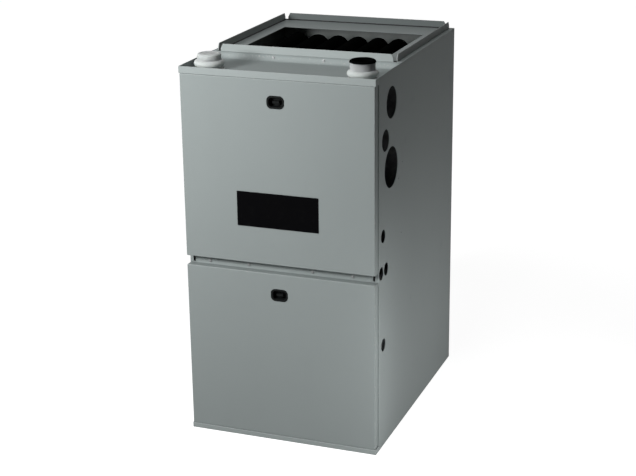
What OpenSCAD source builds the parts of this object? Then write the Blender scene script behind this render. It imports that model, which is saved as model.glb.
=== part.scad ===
// Forced air gas furnace, upflow and condensing, as separate sheet-metal and mechanical pieces.
// Millimetres. +X is to the right seen from the front, +Y is to the back, +Z is up.
// The origin is at the centre of the footprint, on the floor.

/* [Cabinet] */
// Overall width of the cabinet
cab_w = 533.4; // [520:0.1:600]
// Overall depth, from the badge to the back
cab_d = 711.2; // [700:0.1:760]
// Height of the cabinet's flat top above the floor
cab_h = 1016; // [1010:1:1060]
// Thickness of the sheet steel
sheet = 1.2; // [0.8:0.1:1.5]
// How far the badge stands proud of the doors
trim_proud = 1; // [0.8:0.1:2]
// Height of the rim around the base pan
base_rim_h = 9; // [6:0.5:12]
// Height of the rail under the lower door
bottom_rail_h = 14.5; // [12:0.5:20]
// Height of the rail above the upper door, and depth of the vent plate's recess
top_rail_h = 18; // [16:0.5:24]
// Thickness of the folded edge of the top rail
rail_hem = 3; // [2.4:0.1:4]
// Width of the side panels' front return
front_return = 22; // [18:1:30]
// Width of the side panels' back return
back_return = 18; // [12:1:24]
// Width of the base pan around the return air opening, at the sides
base_side_w = 38; // [30:1:60]
// Width of the base pan around the return air opening, at the front and back
base_end_w = 52; // [30:1:80]
// Height of the lip around the return air opening
base_lip_h = 12; // [6:1:16]
// Depth of the compartment behind the doors, to the vestibule panel
vestibule_d = 215; // [210:1:230]

/* [Doors] */
// Depth of the door pans
door_depth = 25; // [20:1:30]
// Distance from the cabinet's side to the door's side
door_inset = 2.2; // [1:0.1:4]
// Gap between a door and the rail above or below it
door_clear = 0.5; // [0.3:0.1:1]
// Height of the lower door's top edge above the floor
split_z = 479; // [470:1:490]
// Height of the open gap between the doors
door_gap_h = 25; // [20:1:30]
// Width of the lip folded in around the back of a door
door_lip = 12; // [8:1:14]
// Distance from a door's top edge to its latch
latch_drop = 58; // [56:1:64]
// Width of the latch's rounded rim
latch_w = 48; // [44:1:60]
// Height of the latch's rounded rim
latch_h = 34; // [33:1:44]
// Radius of the rim's corners
latch_corner = 13; // [10:0.5:16]
// Thickness of the latch's rim
latch_rim_t = 0.8; // [0.4:0.1:0.8]
// Width of the latch's rim
latch_rim_w = 3; // [2:0.5:4]
// Wall of the latch's cup
latch_wall = 2; // [1.5:0.1:2.5]
// Depth of the latch's cup
latch_depth = 16; // [12:1:18]
// Radius of the turning knob
knob_r = 10.5; // [9:0.5:11]
// Radius of the latch's shank
shank_r = 4; // [3:0.5:5]
// Reach of the latch's tongue behind the rail
tongue_l = 48; // [44:1:50]
// Width of the latch's tongue
tongue_w = 10; // [8:1:14]
// Thickness of the latch's tongue
tongue_t = 2; // [1.5:0.5:3]
// Depth of the rail's strike below the door's top edge
strike_h = 24; // [18:1:30]
// Width of the badge
badge_w = 226; // [200:1:260]
// Height of the badge
badge_h = 94; // [60:1:100]
// Height of the badge's centre above the upper door's bottom edge
badge_rise = 147; // [100:1:200]

/* [Supply opening] */
// Height of the plenum flanges above the cabinet's top
flange_h = 19; // [15:1:25]
// Thickness of the folded plenum flanges
flange_t = 2.4; // [2:0.1:3]
// Distance from the cabinet's side to a side flange
flange_inset = 14; // [10:1:20]
// Distance from the cabinet's back to the back flange
flange_back = 3; // [2.6:0.1:8]
// Length of the slanted ends of the flanges
flange_chamfer = 12; // [6:1:16]
// Width of the opening's side ledge, from the cabinet's side
ledge_side = 58; // [45:1:64]
// Width of the opening's back ledge, from the cabinet's back
ledge_back = 114; // [80:1:120]
// Width of the opening's front ledge, behind the front flange
ledge_front = 25; // [15:1:40]
// Distance from the ledge down to the insulation
liner_drop = 12; // [8:1:16]

/* [Vent and air collars] */
// Distance from the right side to the vent collar's centre
vent_side = 58.7; // [56:0.1:66]
// Distance from the left side to the air intake collar's centre
intake_side = 54.7; // [52:0.1:66]
// Distance from the door faces to the collars' centres
collar_front = 73; // [70:1:85]
// Radius of the collar's barrel
collar_r = 34; // [33:0.5:36]
// Radius of the socket for a 2 inch plastic pipe
socket_r = 30.4; // [30.3:0.05:31]
// Radius of the round bead around a collar
bead_r = 10; // [7:0.5:11]
// Height of the bead's middle above the cabinet's top
bead_z = -2; // [-4:1:0]
// Height of the open vent collar above the cabinet's top
vent_top = 32; // [28:1:40]
// Height of the air intake collar above the cabinet's top
intake_top = 9; // [8:1:14]
// Height of the intake plug's head
plug_head_h = 14; // [10:1:20]
// Radius of the intake plug's head
plug_head_r = 31.5; // [31.2:0.1:33]
// Depth of the intake plug in its collar
plug_depth = 16; // [12:1:18]
// Depth of a collar below the vent plate
collar_stub = 14; // [10:1:14]
// Thickness of the collar's flange on the vent plate
collar_flange_t = 2; // [1.5:0.5:3]
// Radius of the collar's flange
collar_flange_r = 41; // [38:1:46]
// Radius of the vent pipe
pipe_r = 30.15; // [30:0.05:30.2]
// Wall of the vent pipe
pipe_wall = 3; // [2:0.5:4]

/* [Side openings] */
// Radius of the top hole, for a vent or gas pipe
hole_a_r = 41.5; // [36:0.5:42]
// Distance of the top hole below the cabinet's top
hole_a_drop = 85; // [79:1:91]
// Distance of the top hole from the door faces
hole_a_y = 127; // [120:1:135]
// Radius of the gas hole
hole_b_r = 28.5; // [24:0.5:29]
// Distance of the gas hole below the cabinet's top
hole_b_drop = 173; // [168:1:176]
// Distance of the gas hole from the door faces
hole_b_y = 78; // [74:1:80]
// Radius of the side vent hole
hole_c_r = 54; // [48:0.5:55]
// Distance of the side vent hole below the cabinet's top
hole_c_drop = 255; // [251:1:260]
// Distance of the side vent hole from the door faces
hole_c_y = 125; // [122:1:132]
// Radius of the small entry holes
entry_r = 17.5; // [16:0.5:18]
// Height of the power entry hole above the lower door's top edge
hole_d_rise = 115; // [101:1:131]
// Distance of the power entry hole from the door faces
hole_d_y = 60; // [56:1:70]
// Height of the two entry holes above the lower door's top edge
hole_ef_rise = 18; // [17:1:23]
// Distance of the drain entry hole from the door faces
hole_e_y = 84; // [83:1:90]
// Distance of the control wiring entry hole from the door faces
hole_f_y = 44; // [43:1:46]
// Distance of the blower compartment's entry hole below the lower door's top edge
hole_g_drop = 187; // [169:1:199]
// Distance of the blower compartment's entry hole from the door faces
hole_g_y = 63; // [58:1:75]
// Radius of the pilot holes
pilot_r = 2.2; // [1.6:0.1:3]
// Distance of the two upper pilot holes below the cabinet's top
pilot_drops = [266, 303]; // [260:1:310]
// Height of the lower pilot hole above the lower door's top edge
pilot_rise = 77; // [60:1:100]
// Distances of the three pilot holes from the door faces
pilot_ys = [219, 189, 214]; // [180:1:230]

/* [Heat exchanger] */
// Radius of a primary tube
tube_r = 27; // [25:0.5:28]
// Wall of a primary tube
tube_wall = 1.2; // [1:0.1:1.6]
// Distance between neighbouring primary tubes
tube_pitch = 60; // [58:0.5:62]
// Distance from the cabinet's top to the top of the tubes
tube_drop = 20; // [19.6:0.2:24]
// Radius of the bends between passes
bend_r = 35; // [32:0.5:38]
// Distance from the vestibule panel to the rear bends
rear_bend = 330; // [310:1:335]
// Distance from the vestibule panel to the front bends
front_bend = 80; // [72:1:90]
// Distance from the vestibule panel to the rear header
header_gap = 355; // [350:1:365]
// Depth of the rear header
header_d = 50; // [40:1:60]
// Radius of a secondary tube
coil_r = 8; // [6:0.5:9]
// Wall of a secondary tube
coil_wall = 0.8; // [0.6:0.1:1]
// Distance from the cabinet's side to the rear header
header_side = 82; // [78:1:86]
// Least distance from the header's end to the last secondary tube's axis
coil_room = 15; // [12:1:20]
// Distance between secondary tubes in a row
coil_pitch = 46; // [40:0.5:47]
// Distance between the two rows of secondary tubes
coil_row = 30; // [24:1:34]
// Height of the secondary coil's middle above the blower deck
coil_z = 81; // [70:1:90]
// Height of the secondary coil's fins
fin_h = 70; // [60:1:76]
// Thickness of a fin
fin_t = 1; // [0.6:0.1:1.2]
// Distance between fins
fin_pitch = 16; // [12:1:20]
// Thickness of the insulation
liner_t = 12; // [8:1:16]

/* [Burners and gas train] */
// Depth of the burner box
burner_box_d = 80; // [72:1:86]
// Distance from the burners' axis down to the burner box's floor
burner_box_drop = 41; // [36:1:50]
// Distance from the side to the burner box
burner_box_side = 74; // [72:1:76]
// Radius of a burner at its flame end
burner_r = 20; // [16:0.5:22]
// Radius of a burner at its mouth
mouth_r = 12; // [10:0.5:14]
// Length of a burner
burner_l = 50; // [44:1:54]
// Least distance from the burner box's end to the last tube's axis, with room for a probe
end_room = 30; // [28:1:36]
// Distance from the burner box's end to the rollout switch
rollout_side = 72.7; // [60:0.1:80]
// Radius of the gas manifold pipe
gas_r = 10.7; // [10:0.1:11.5]
// Distance from the burner box to the manifold's axis
manifold_gap = 30; // [26:1:34]
// Radius of a gas orifice
spud_r = 6; // [5:0.5:7]
// Width of the gas valve
valve_w = 70; // [60:1:74]
// Depth of the gas valve
valve_d = 60; // [50:1:64]
// Height of the gas valve
valve_h = 70; // [60:1:76]
// Radius of the gas inlet's thread
inlet_r = 9.3; // [9:0.1:9.6]
// Depth of the gas inlet's thread
inlet_depth = 20; // [15:1:24]

/* [Inducer and drain] */
// Distance of the inducer's axis from the vent collar's centre, to the left
inducer_side = 148; // [138:1:158]
// Height of the inducer's axis above the blower deck
inducer_z = 226; // [215:1:235]
// Radius of the inducer's housing
inducer_r = 88; // [80:1:92]
// Depth of the inducer's housing
inducer_d = 55; // [50:1:60]
// Depth of the cold header
cold_d = 30; // [24:1:36]
// Radius of the inducer's wheel
inducer_wheel_r = 66; // [58:1:70]
// Radius of the inducer's motor
inducer_motor_r = 45; // [38:1:50]
// Length of the inducer's motor
inducer_motor_l = 56; // [50:1:60]
// Width of the condensate trap
trap_w = 50; // [44:1:56]
// Depth of the condensate trap
trap_d = 54; // [48:1:58]
// Height of the condensate trap
trap_h = 96; // [80:1:110]
// Radius of the drain's socket for a 3/4 inch plastic pipe
drain_r = 13.45; // [13.4:0.05:13.6]
// Depth of the drain's socket
drain_depth = 20; // [15:1:25]
// Radius of the rubber drain hose
hose_r = 8; // [6:0.5:9]
// Height of the drain hose's bend above the trap's spigot
hose_rise = 40; // [30:1:60]
// Distance from the inducer's axis to the pressure switches
switch_side_x = 135; // [125:1:150]
// Radius of a pressure switch
pressure_r = 32; // [28:1:36]
// Depth of a pressure switch with its spigot
pressure_d = 36; // [33:1:40]
// Width of a pressure switch's mounting plate
pressure_plate_w = 50; // [44:1:60]
// Reach of the pressure hoses in front of the switches
hose_reach = 28; // [20:1:40]

/* [Blower] */
// Radius of the blower wheel
wheel_r = 139.7; // [130:0.1:142]
// Width of the blower wheel
wheel_w = 254; // [230:1:256]
// Number of blades
blades = 32; // [24:1:36]
// Radial depth of a blade
blade_depth = 20; // [16:1:24]
// Radius of the scroll at its cut-off
scroll_in = 150; // [148:1:156]
// Radius of the scroll at its outlet
scroll_out = 200; // [192:1:204]
// Width of the blower housing
housing_w = 290; // [280:1:296]
// Depth of the blower's axis below the deck
blower_drop = 234; // [228:1:238]
// Distance of the blower's axis behind the vestibule panel
blower_back = 200; // [196:1:215]
// Radius of the blower housing's air inlets
inlet_air_r = 118; // [110:1:120]
// Radius of the motor
motor_r = 70; // [60:1:76]
// Length of the motor
motor_l = 120; // [100:1:130]
// Width of the band around the motor
motor_band_w = 16; // [12:1:20]
// Radius of the motor's shaft
shaft_r = 6.35; // [5:0.05:8]
// Radial clearance of a turning shaft in its bearing
run_clear = 0.05; // [0.02:0.01:0.1]

/* [Controls] */
// Width of the control bracket
bracket_w = 250; // [230:1:280]
// Height of the control bracket
bracket_h = 160; // [150:1:200]
// Distance from the bracket to the blower housing
bracket_gap = 50; // [40:1:60]
// Width of the control board
board_w = 150; // [130:1:155]
// Height of the control board
board_h = 112; // [100:1:120]
// Travel of the door switch's plunger
plunger_travel = 4; // [3:0.5:5]
// Radius of the door switch's plunger
plunger_r = 3; // [2.5:0.5:4]
// Depth of the control bracket's foot under the deck
bracket_foot = 24; // [18:1:40]
// Distance from the right side to the door switch
switch_side = 101.7; // [90:0.1:120]
// Width of the junction box along the panel
jbox_d = 78; // [70:1:84]
// Height of the junction box
jbox_h = 88; // [80:1:96]
// Depth of the junction box from the panel
jbox_w = 56; // [48:1:64]

/* [Hidden] */
$fn = 48;
eps = 1;               // overlap of a cutting tool past a face
slip = 0.1;            // clearance of a piece that is pushed through a hole
loose = 0.3;           // clearance beside something that moves

// Planes of the cabinet
hw = cab_w / 2;
inner_x = hw - sheet;
front_y = -cab_d / 2;
back_y = cab_d / 2;
face_y = front_y + trim_proud;
side_y = face_y + door_depth;
rear_in = back_y - 2 * sheet;
flange_y = face_y + vestibule_d;
vest_y = flange_y - sheet;
vent_z = cab_h - top_rail_h;
floor_z = vent_z - sheet;
ledge_z = cab_h - sheet;
deck_z = split_z - 5;
deck_under = deck_z - sheet;

// Doors and latches
door_hw = hw - door_inset;
door_back = side_y - loose;
upper_z0 = split_z + door_gap_h;
badge_z = upper_z0 + badge_rise;
hole_a_z = cab_h - hole_a_drop;
hole_b_z = cab_h - hole_b_drop;
hole_c_z = cab_h - hole_c_drop;
hole_d_z = split_z + hole_d_rise;
hole_ef_z = split_z + hole_ef_rise;
hole_g_z = split_z - hole_g_drop;
upper_z1 = vent_z - door_clear;
lower_z0 = bottom_rail_h + door_clear;
upper_latch_z = upper_z1 - latch_drop;
lower_latch_z = split_z - latch_drop;
cup_w = latch_w - 2 * latch_rim_w;
cup_h = latch_h - 2 * latch_rim_w;
cup_corner = latch_corner - latch_rim_w;
cup_back = face_y + latch_depth + latch_wall;
tongue_y = side_y + sheet + 0.5;
mid_rail_z0 = split_z - strike_h;
mid_rail_z1 = upper_z0 + 20;
mid_rail_leg = 28;
rail_lap = 6;
strike_w = 120;
screw_x = [-hw + 59.7, -95, 85, hw - 70.7];
screw_z = split_z + 9;
screw_r = 2;
screw_head_r = 4.5;
screw_head_h = 3;
plate_screw_x = [-90, 52];

// Collars and pipes
vent_x = hw - vent_side;
inducer_x = vent_x - inducer_side;
intake_x = -hw + intake_side;
collar_y = face_y + collar_front;
stop_z = cab_h - 8;
stop_h = 4;
collar_low = vent_z - collar_stub;

// Burner box and rear header, and how many tubes go between their ends
box_hw = hw - burner_box_side;
tubes = 1 + floor(2 * (box_hw - end_room) / tube_pitch);
header_hw = hw - header_side;
coil_cols = 1 + floor(2 * (header_hw - coil_room) / coil_pitch);

// Heat exchanger
pass_z = cab_h - tube_drop - tube_r;
pass2_z = pass_z - 2 * bend_r;
pass3_z = pass2_z - 2 * bend_r;
rear_bend_y = flange_y + rear_bend;
front_bend_y = flange_y + front_bend;
header_y = flange_y + header_gap;
coil_mid = deck_z + coil_z;
header_z0 = coil_mid - fin_h / 2 - 8;
header_z1 = pass3_z + tube_r + 9;
cold_z0 = coil_mid - coil_row / 2 - coil_r - 14;
cold_z1 = coil_mid + coil_row / 2 + coil_r + 14;
cold_y = vest_y - cold_d;
cold_t = 2.5;

// Burners and gas train
box_z0 = pass_z - burner_box_drop;
box_z1 = floor_z - 4;
box_y = vest_y - burner_box_d;
mouth_y = vest_y - 5 - burner_l;
manifold_y = box_y - manifold_gap;
gas_y = face_y + hole_b_y;
valve_x = -hw + 67;
valve_z = hole_b_z + 17;
valve_y = manifold_y - 12;
valve_top = valve_z + valve_h / 2;
valve_front = valve_y - valve_d / 2;
gas_knob_x = valve_x + 12;
gas_knob_z = valve_z + 6;
gas_knob_r = 13;
rollout_x = box_hw - rollout_side;
rollout_z = box_z0 + 11;
sensor_x = box_hw - 12;

// Inducer and drain
ind_z = deck_z + inducer_z;
ind_y0 = cold_y;
ind_y1 = cold_y - inducer_d;
ind_t = 2.5;
ind_mid_y = cold_y - inducer_d / 2;
outlet_z = ind_z + inducer_r - pipe_r;
outlet_x1 = inducer_x + inducer_r + 10;
motor_gap = 8;
trap_y = face_y + hole_e_y;
trap_x0 = -hw + 17;
switch_x = inducer_x - switch_side_x;
switch_z = [ind_z - 20, ind_z + 55];

// Blower
wheel_y = flange_y + blower_back;
wheel_z = deck_z - blower_drop;
cut_angle = 100;
scroll_sweep = 280;
scroll_steps = 40;
housing_hw = housing_w / 2;
housing_t = 1;
inlet_ring_d = 5;
lip_w = 15;
rail_leg = 24;
rail_drop = 9;

// Controls
bracket_y = wheel_y - scroll_out - bracket_gap;
board_x0 = -bracket_w / 2 + 10;
board_z0 = deck_under - bracket_h + 20;
board_t = 1.6;
standoff = 6;
plunger_x = hw - switch_side;
plunger_z = mid_rail_z0 - plunger_r - 3;
switch_y = side_y + 6;
switch_bore = 22;
jbox_y = face_y + hole_g_y;
knockout_r = entry_r + 1.5;

// A box between two corners
module slab(lo, hi) {
  translate(lo) cube(hi - lo);
}

// Round bars along the three axes
module rod_x(x0, x1, y, z, r) {
  translate([x0, y, z]) rotate([0, 90, 0]) cylinder(h = x1 - x0, r = r);
}

module rod_y(y0, y1, x, z, r, r1 = -1) {
  translate([x, y0, z]) rotate([-90, 0, 0]) cylinder(h = y1 - y0, r1 = r, r2 = r1 < 0 ? r : r1);
}

module rod_z(z0, z1, x, y, r) {
  translate([x, y, z0]) cylinder(h = z1 - z0, r = r);
}

// A bar between any two points
module bar(a, b, r) {
  d = b - a;
  l = norm(d);
  translate(a) rotate([0, acos(d.z / l), atan2(d.y, d.x)]) cylinder(h = l, r = r);
}

// A round run through points, with a slightly fuller bead at each turn
module run(points, r) {
  for (i = [0:len(points) - 2]) bar(points[i], points[i + 1], r);
  for (i = [1:len(points) - 2]) translate(points[i]) sphere(r = r + 0.25);
}

function unit(v) = v / norm(v);

// Points of a route after one round of corner cutting, which leaves both ends in place
function rounded(p) = concat([p[0]],
  [for (i = [0:len(p) - 2]) each [0.75 * p[i] + 0.25 * p[i + 1], 0.25 * p[i] + 0.75 * p[i + 1]]],
  [p[len(p) - 1]]);

// A hose or a wire swept along a rounded route; ref is a direction that the route never takes
module hose(route, r, ref) {
  sides = 10;
  p = rounded(rounded(route));
  n = len(p);
  tangent = [for (i = [0:n - 1]) unit(p[min(i + 1, n - 1)] - p[max(i - 1, 0)])];
  ring = [for (i = [0:n - 1]) let(u = unit(cross(tangent[i], ref)), v = cross(tangent[i], u))
          each [for (k = [0:sides - 1]) p[i] + r * (cos(360 * k / sides) * u + sin(360 * k / sides) * v)]];
  wall = [for (i = [0:n - 2], k = [0:sides - 1]) let(a = i * sides + k, b = i * sides + (k + 1) % sides)
          each [[a, a + sides, b], [b, a + sides, b + sides]]];
  first = [for (k = [0:sides - 1]) k];
  last = [for (k = [sides - 1:-1:0]) (n - 1) * sides + k];
  polyhedron(points = ring, faces = concat(wall, [first, last]));
}

// An upright plate with rounded corners, along Y
module rounded_plate(y0, y1, z, w, h, r) {
  translate([0, y1, z]) rotate([90, 0, 0]) linear_extrude(y1 - y0) union() {
    square([w - 2 * r, h], center = true);
    square([w, h - 2 * r], center = true);
    for (sx = [-1, 1], sz = [-1, 1]) translate([sx * (w / 2 - r), sz * (h / 2 - r)]) circle(r);
  }
}

// A Y-Z outline, extruded from x0 to x1
module side_outline(x0, x1, points) {
  translate([x0, 0, 0]) rotate([90, 0, 90]) linear_extrude(x1 - x0) polygon(points);
}

function tube_x(i) = (i - (tubes - 1) / 2) * tube_pitch;
function coil_x(i) = (i - (coil_cols - 1) / 2) * coil_pitch;

// Side panel, drawn at the right, with its entry holes as [distance from the doors, height, radius]
module side_panel(holes) {
  difference() {
    union() {
      slab([inner_x, side_y, base_rim_h], [hw, back_y, cab_h]);
      slab([hw - front_return, side_y, base_rim_h], [hw, side_y + sheet, floor_z]);
      slab([hw - back_return, back_y - sheet, base_rim_h], [hw, back_y, cab_h]);
      slab([hw - flange_inset, flange_y, ledge_z], [hw, back_y, cab_h]);
    }
    for (h = holes) rod_x(inner_x - eps, hw + eps, face_y + h[0], h[1], h[2]);
  }
}

right_holes = [[hole_a_y, hole_a_z, hole_a_r], [hole_b_y, hole_b_z, hole_b_r],
               [hole_c_y, hole_c_z, hole_c_r], [hole_d_y, hole_d_z, entry_r],
               [hole_e_y, hole_ef_z, entry_r], [hole_f_y, hole_ef_z, entry_r],
               [hole_g_y, hole_g_z, entry_r], [pilot_ys[0], cab_h - pilot_drops[0], pilot_r],
               [pilot_ys[1], cab_h - pilot_drops[1], pilot_r],
               [pilot_ys[2], split_z + pilot_rise, pilot_r]];
left_holes = [[hole_b_y, hole_b_z, hole_b_r], [hole_e_y, hole_ef_z, entry_r],
              [hole_g_y, hole_g_z, entry_r]];

module right_side_panel() {
  color("gray") side_panel(right_holes);
}

module left_side_panel() {
  color("gray") mirror([1, 0, 0]) side_panel(left_holes);
}

module back_panel() {
  color("gray") slab([-inner_x, rear_in, base_rim_h], [inner_x, back_y - sheet, ledge_z - sheet]);
}

// Base pan with its open return air opening, outer rim and inner lip
module base_pan() {
  x0 = hw - base_side_w;
  y0 = side_y + base_end_w;
  y1 = back_y - base_end_w;
  color("gray") {
    difference() {
      union() {
        slab([-hw, side_y, 0], [hw, back_y, base_rim_h]);
        slab([-x0 - sheet, y0 - sheet, 0], [x0 + sheet, y1 + sheet, base_lip_h]);
      }
      difference() {
        slab([-inner_x, side_y - eps, sheet], [inner_x, rear_in, base_lip_h + eps]);
        slab([-x0 - sheet, y0 - sheet, 0], [x0 + sheet, y1 + sheet, base_lip_h + 2 * eps]);
      }
      slab([-x0, y0, -eps], [x0, y1, base_lip_h + 2 * eps]);
    }
  }
}

// Closed box rail under the lower door
module bottom_rail() {
  color("darkgray") difference() {
    slab([-hw, face_y, 0], [hw, side_y, bottom_rail_h]);
    slab([-inner_x, face_y + sheet, sheet], [inner_x, side_y + eps, bottom_rail_h - sheet]);
  }
}

// Top rail: hemmed front wall, floor lapped on the vent plate, end walls and the strike
module top_rail() {
  color("lightgray") {
    slab([-hw, face_y, vent_z], [hw, face_y + rail_hem, cab_h]);
    slab([-hw, face_y, vent_z], [hw, side_y, vent_z + sheet]);
    slab([-inner_x, side_y - eps, vent_z], [inner_x, side_y + rail_lap, vent_z + sheet]);
    for (s = [-1, 1]) slab([s > 0 ? inner_x : -hw, face_y, vent_z], [s > 0 ? hw : -inner_x, side_y, cab_h]);
    slab([-strike_w / 2, side_y, vent_z - strike_h], [strike_w / 2, side_y + sheet, vent_z + sheet / 2]);
  }
}

// Recessed rail between the doors, seen through the gap, with the lower latch's strike
module mid_rail() {
  x0 = hw - front_return;
  color("darkgray") difference() {
    union() {
      slab([-x0, side_y, mid_rail_z0], [x0, side_y + sheet, mid_rail_z1]);
      slab([-x0, side_y, mid_rail_z1 - sheet], [x0, side_y + mid_rail_leg, mid_rail_z1]);
      slab([-x0, side_y + sheet / 2, deck_z], [x0, side_y + mid_rail_leg, deck_z + sheet]);
    }
    for (x = screw_x) rod_y(side_y - eps, side_y + sheet + eps, x, screw_z, screw_r + slip);
  }
}

// Recessed plate that holds both collars, with its upturned rear edge
module vent_plate() {
  color("gray") difference() {
    union() {
      slab([-inner_x, side_y + sheet, floor_z], [inner_x, flange_y, vent_z]);
      slab([-inner_x, vest_y, floor_z], [inner_x, flange_y, ledge_z - sheet]);
    }
    rod_z(floor_z - eps, vent_z + eps, vent_x, collar_y, collar_r + slip);
    rod_z(floor_z - eps, vent_z + eps, intake_x, collar_y, collar_r + slip);
    for (x = plate_screw_x) rod_y(vest_y - eps, flange_y + eps, x, vent_z + 8, screw_r + slip);
  }
}

// Flat frame around the supply opening
module supply_ledge() {
  x0 = hw - ledge_side;
  y0 = flange_y + ledge_front;
  y1 = back_y - ledge_back;
  color("gray") difference() {
    slab([-inner_x, vest_y, ledge_z - sheet], [inner_x, back_y - sheet, ledge_z]);
    slab([-x0, y0, ledge_z - sheet - eps], [x0, y1, ledge_z + eps]);
  }
}

// Flange outline with slanted ends, from a to b, standing on the ledge
function flange_points(a, b) = [[a, ledge_z], [b, ledge_z], [b, cab_h + flange_h - flange_chamfer],
                                [b - flange_chamfer * 0.5, cab_h + flange_h],
                                [a + flange_chamfer * 0.5, cab_h + flange_h],
                                [a, cab_h + flange_h - flange_chamfer]];

// Four flanges that the supply plenum slides over
module plenum_flanges() {
  x1 = hw - flange_inset;
  y0 = flange_y + flange_t + 1;
  y1 = back_y - flange_back - flange_t - 1;
  color("gray") {
    for (x = [-x1, x1 - flange_t]) side_outline(x, x + flange_t, flange_points(y0, y1));
    for (y = [flange_y, back_y - flange_back - flange_t])
      translate([0, y + flange_t, 0]) rotate([90, 0, 0]) linear_extrude(flange_t)
        polygon(flange_points(-x1 + 10, x1 - 10));
  }
}

// Upright panel between the vestibule and the heat exchanger
module vestibule_panel() {
  color("silver") difference() {
    slab([-inner_x, vest_y, deck_z], [inner_x, flange_y, floor_z]);
    for (i = [0:tubes - 1]) rod_y(vest_y - eps, flange_y + eps, tube_x(i), pass_z, tube_r + slip);
    for (i = [0:coil_cols - 1], s = [-1, 1])
      rod_y(vest_y - eps, flange_y + eps, coil_x(i), coil_mid + s * coil_row / 2, coil_r + slip);
  }
}

outlet_y0 = wheel_y - scroll_out;
outlet_y1 = wheel_y + scroll_in * cos(cut_angle);

// Deck over the blower compartment, with the blower's outlet
module blower_deck() {
  color("silver") difference() {
    slab([-inner_x, side_y + sheet, deck_under], [inner_x, rear_in, deck_z]);
    slab([-housing_hw + housing_t, outlet_y0 + housing_t, deck_under - eps],
         [housing_hw - housing_t, outlet_y1 - housing_t, deck_z + eps]);
  }
}

// Insulation on both sides and the back of the heat exchanger's space
module casing_liner() {
  z1 = ledge_z - liner_drop;
  color("silver") {
    slab([-inner_x, flange_y, deck_z], [-inner_x + liner_t, rear_in, z1]);
    slab([inner_x - liner_t, flange_y, deck_z], [inner_x, rear_in, z1]);
    slab([-inner_x + liner_t + loose, rear_in - liner_t, deck_z], [inner_x - liner_t - loose, rear_in, z1]);
  }
}

// Door pan: front sheet, four returns and a lip folded in around the back
module door_pan(z0, z1, latch_z) {
  difference() {
    slab([-door_hw, face_y, z0], [door_hw, door_back, z1]);
    slab([-door_hw + sheet, face_y + sheet, z0 + sheet], [door_hw - sheet, door_back - sheet, z1 - sheet]);
    slab([-door_hw + door_lip, face_y + door_depth / 2, z0 + door_lip],
         [door_hw - door_lip, door_back + eps, z1 - door_lip]);
    rounded_plate(face_y - eps, face_y + sheet + eps, latch_z, cup_w + slip, cup_h + slip,
                  cup_corner + slip / 2);
  }
}

module upper_door() {
  color("silver") door_pan(upper_z0, upper_z1, upper_latch_z);
}

module lower_door() {
  color("silver") door_pan(lower_z0, split_z, lower_latch_z);
}

// Latch cup with a thin rim on the door's face and a bore for the knob's shank
module latch_cup(z) {
  difference() {
    union() {
      rounded_plate(face_y - latch_rim_t, face_y, z, latch_w, latch_h, latch_corner);
      rounded_plate(face_y - latch_rim_t / 2, cup_back, z, cup_w, cup_h, cup_corner);
    }
    rounded_plate(face_y - latch_rim_t - eps, face_y + latch_depth, z, cup_w - 2 * latch_wall,
                  cup_h - 2 * latch_wall, cup_corner - latch_wall);
    rod_y(cup_back - latch_wall - eps, cup_back + eps, 0, z, shank_r + run_clear);
  }
}

// Knob with a finger bar, its shank and the tongue that turns up behind the rail
module latch_knob(z) {
  floor_y = face_y + latch_depth;
  rod_y(floor_y - 3.5, floor_y - 0.5, 0, z, knob_r);
  slab([-knob_r + 1.5, face_y + 3, z - 3], [knob_r - 1.5, floor_y - 3, z + 3]);
  rod_y(floor_y - 3, tongue_y + tongue_t / 2, 0, z, shank_r);
  slab([-tongue_w / 2, tongue_y, z - tongue_w / 2], [tongue_l, tongue_y + tongue_t, z + tongue_w / 2]);
}

module upper_latch_cup() {
  color("black") latch_cup(upper_latch_z);
}

module upper_latch_knob() {
  color("black") latch_knob(upper_latch_z);
}

module lower_latch_cup() {
  color("black") latch_cup(lower_latch_z);
}

module lower_latch_knob() {
  color("black") latch_knob(lower_latch_z);
}

module badge_plate() {
  color("black") slab([-badge_w / 2, front_y, badge_z - badge_h / 2],
                      [badge_w / 2, face_y, badge_z + badge_h / 2]);
}

// Pipe collar: stub through the plate, flange, round bead, upper barrel and stepped socket
module collar(x, top) {
  translate([x, collar_y, 0]) difference() {
    union() {
      translate([0, 0, collar_low]) cylinder(h = cab_h + top - collar_low, r = collar_r);
      translate([0, 0, vent_z]) cylinder(h = collar_flange_t, r = collar_flange_r);
      rotate_extrude() translate([collar_r - 0.5, cab_h + bead_z]) intersection() {
        circle(bead_r);
        translate([-2, -bead_r]) square([bead_r + 2, 2 * bead_r]);
      }
    }
    translate([0, 0, stop_z + stop_h]) cylinder(h = cab_h + top, r = socket_r);
    translate([0, 0, collar_low - eps]) cylinder(h = stop_z - collar_low + eps, r = socket_r);
    translate([0, 0, collar_low - eps]) cylinder(h = cab_h + top, r = pipe_r - pipe_wall);
  }
}

module vent_collar() {
  color("white") collar(vent_x, vent_top);
}

module intake_collar() {
  color("white") collar(intake_x, intake_top);
}

// Plug in the air intake collar: hollow head on a short skirt
module intake_plug() {
  z0 = cab_h + intake_top;
  skirt_r = socket_r - 0.25;
  skirt_z = max(z0 - plug_depth, stop_z + stop_h + 0.5);
  color("white") translate([intake_x, collar_y, 0]) difference() {
    union() {
      translate([0, 0, z0]) cylinder(h = plug_head_h - 3, r = plug_head_r);
      translate([0, 0, z0 + plug_head_h - 3]) cylinder(h = 3, r1 = plug_head_r, r2 = plug_head_r - 3);
      translate([0, 0, skirt_z]) cylinder(h = z0 - skirt_z + eps, r = skirt_r);
    }
    translate([0, 0, skirt_z - eps]) cylinder(h = z0 + plug_head_h - 3 - skirt_z + eps, r = skirt_r - 3);
  }
}

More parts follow.
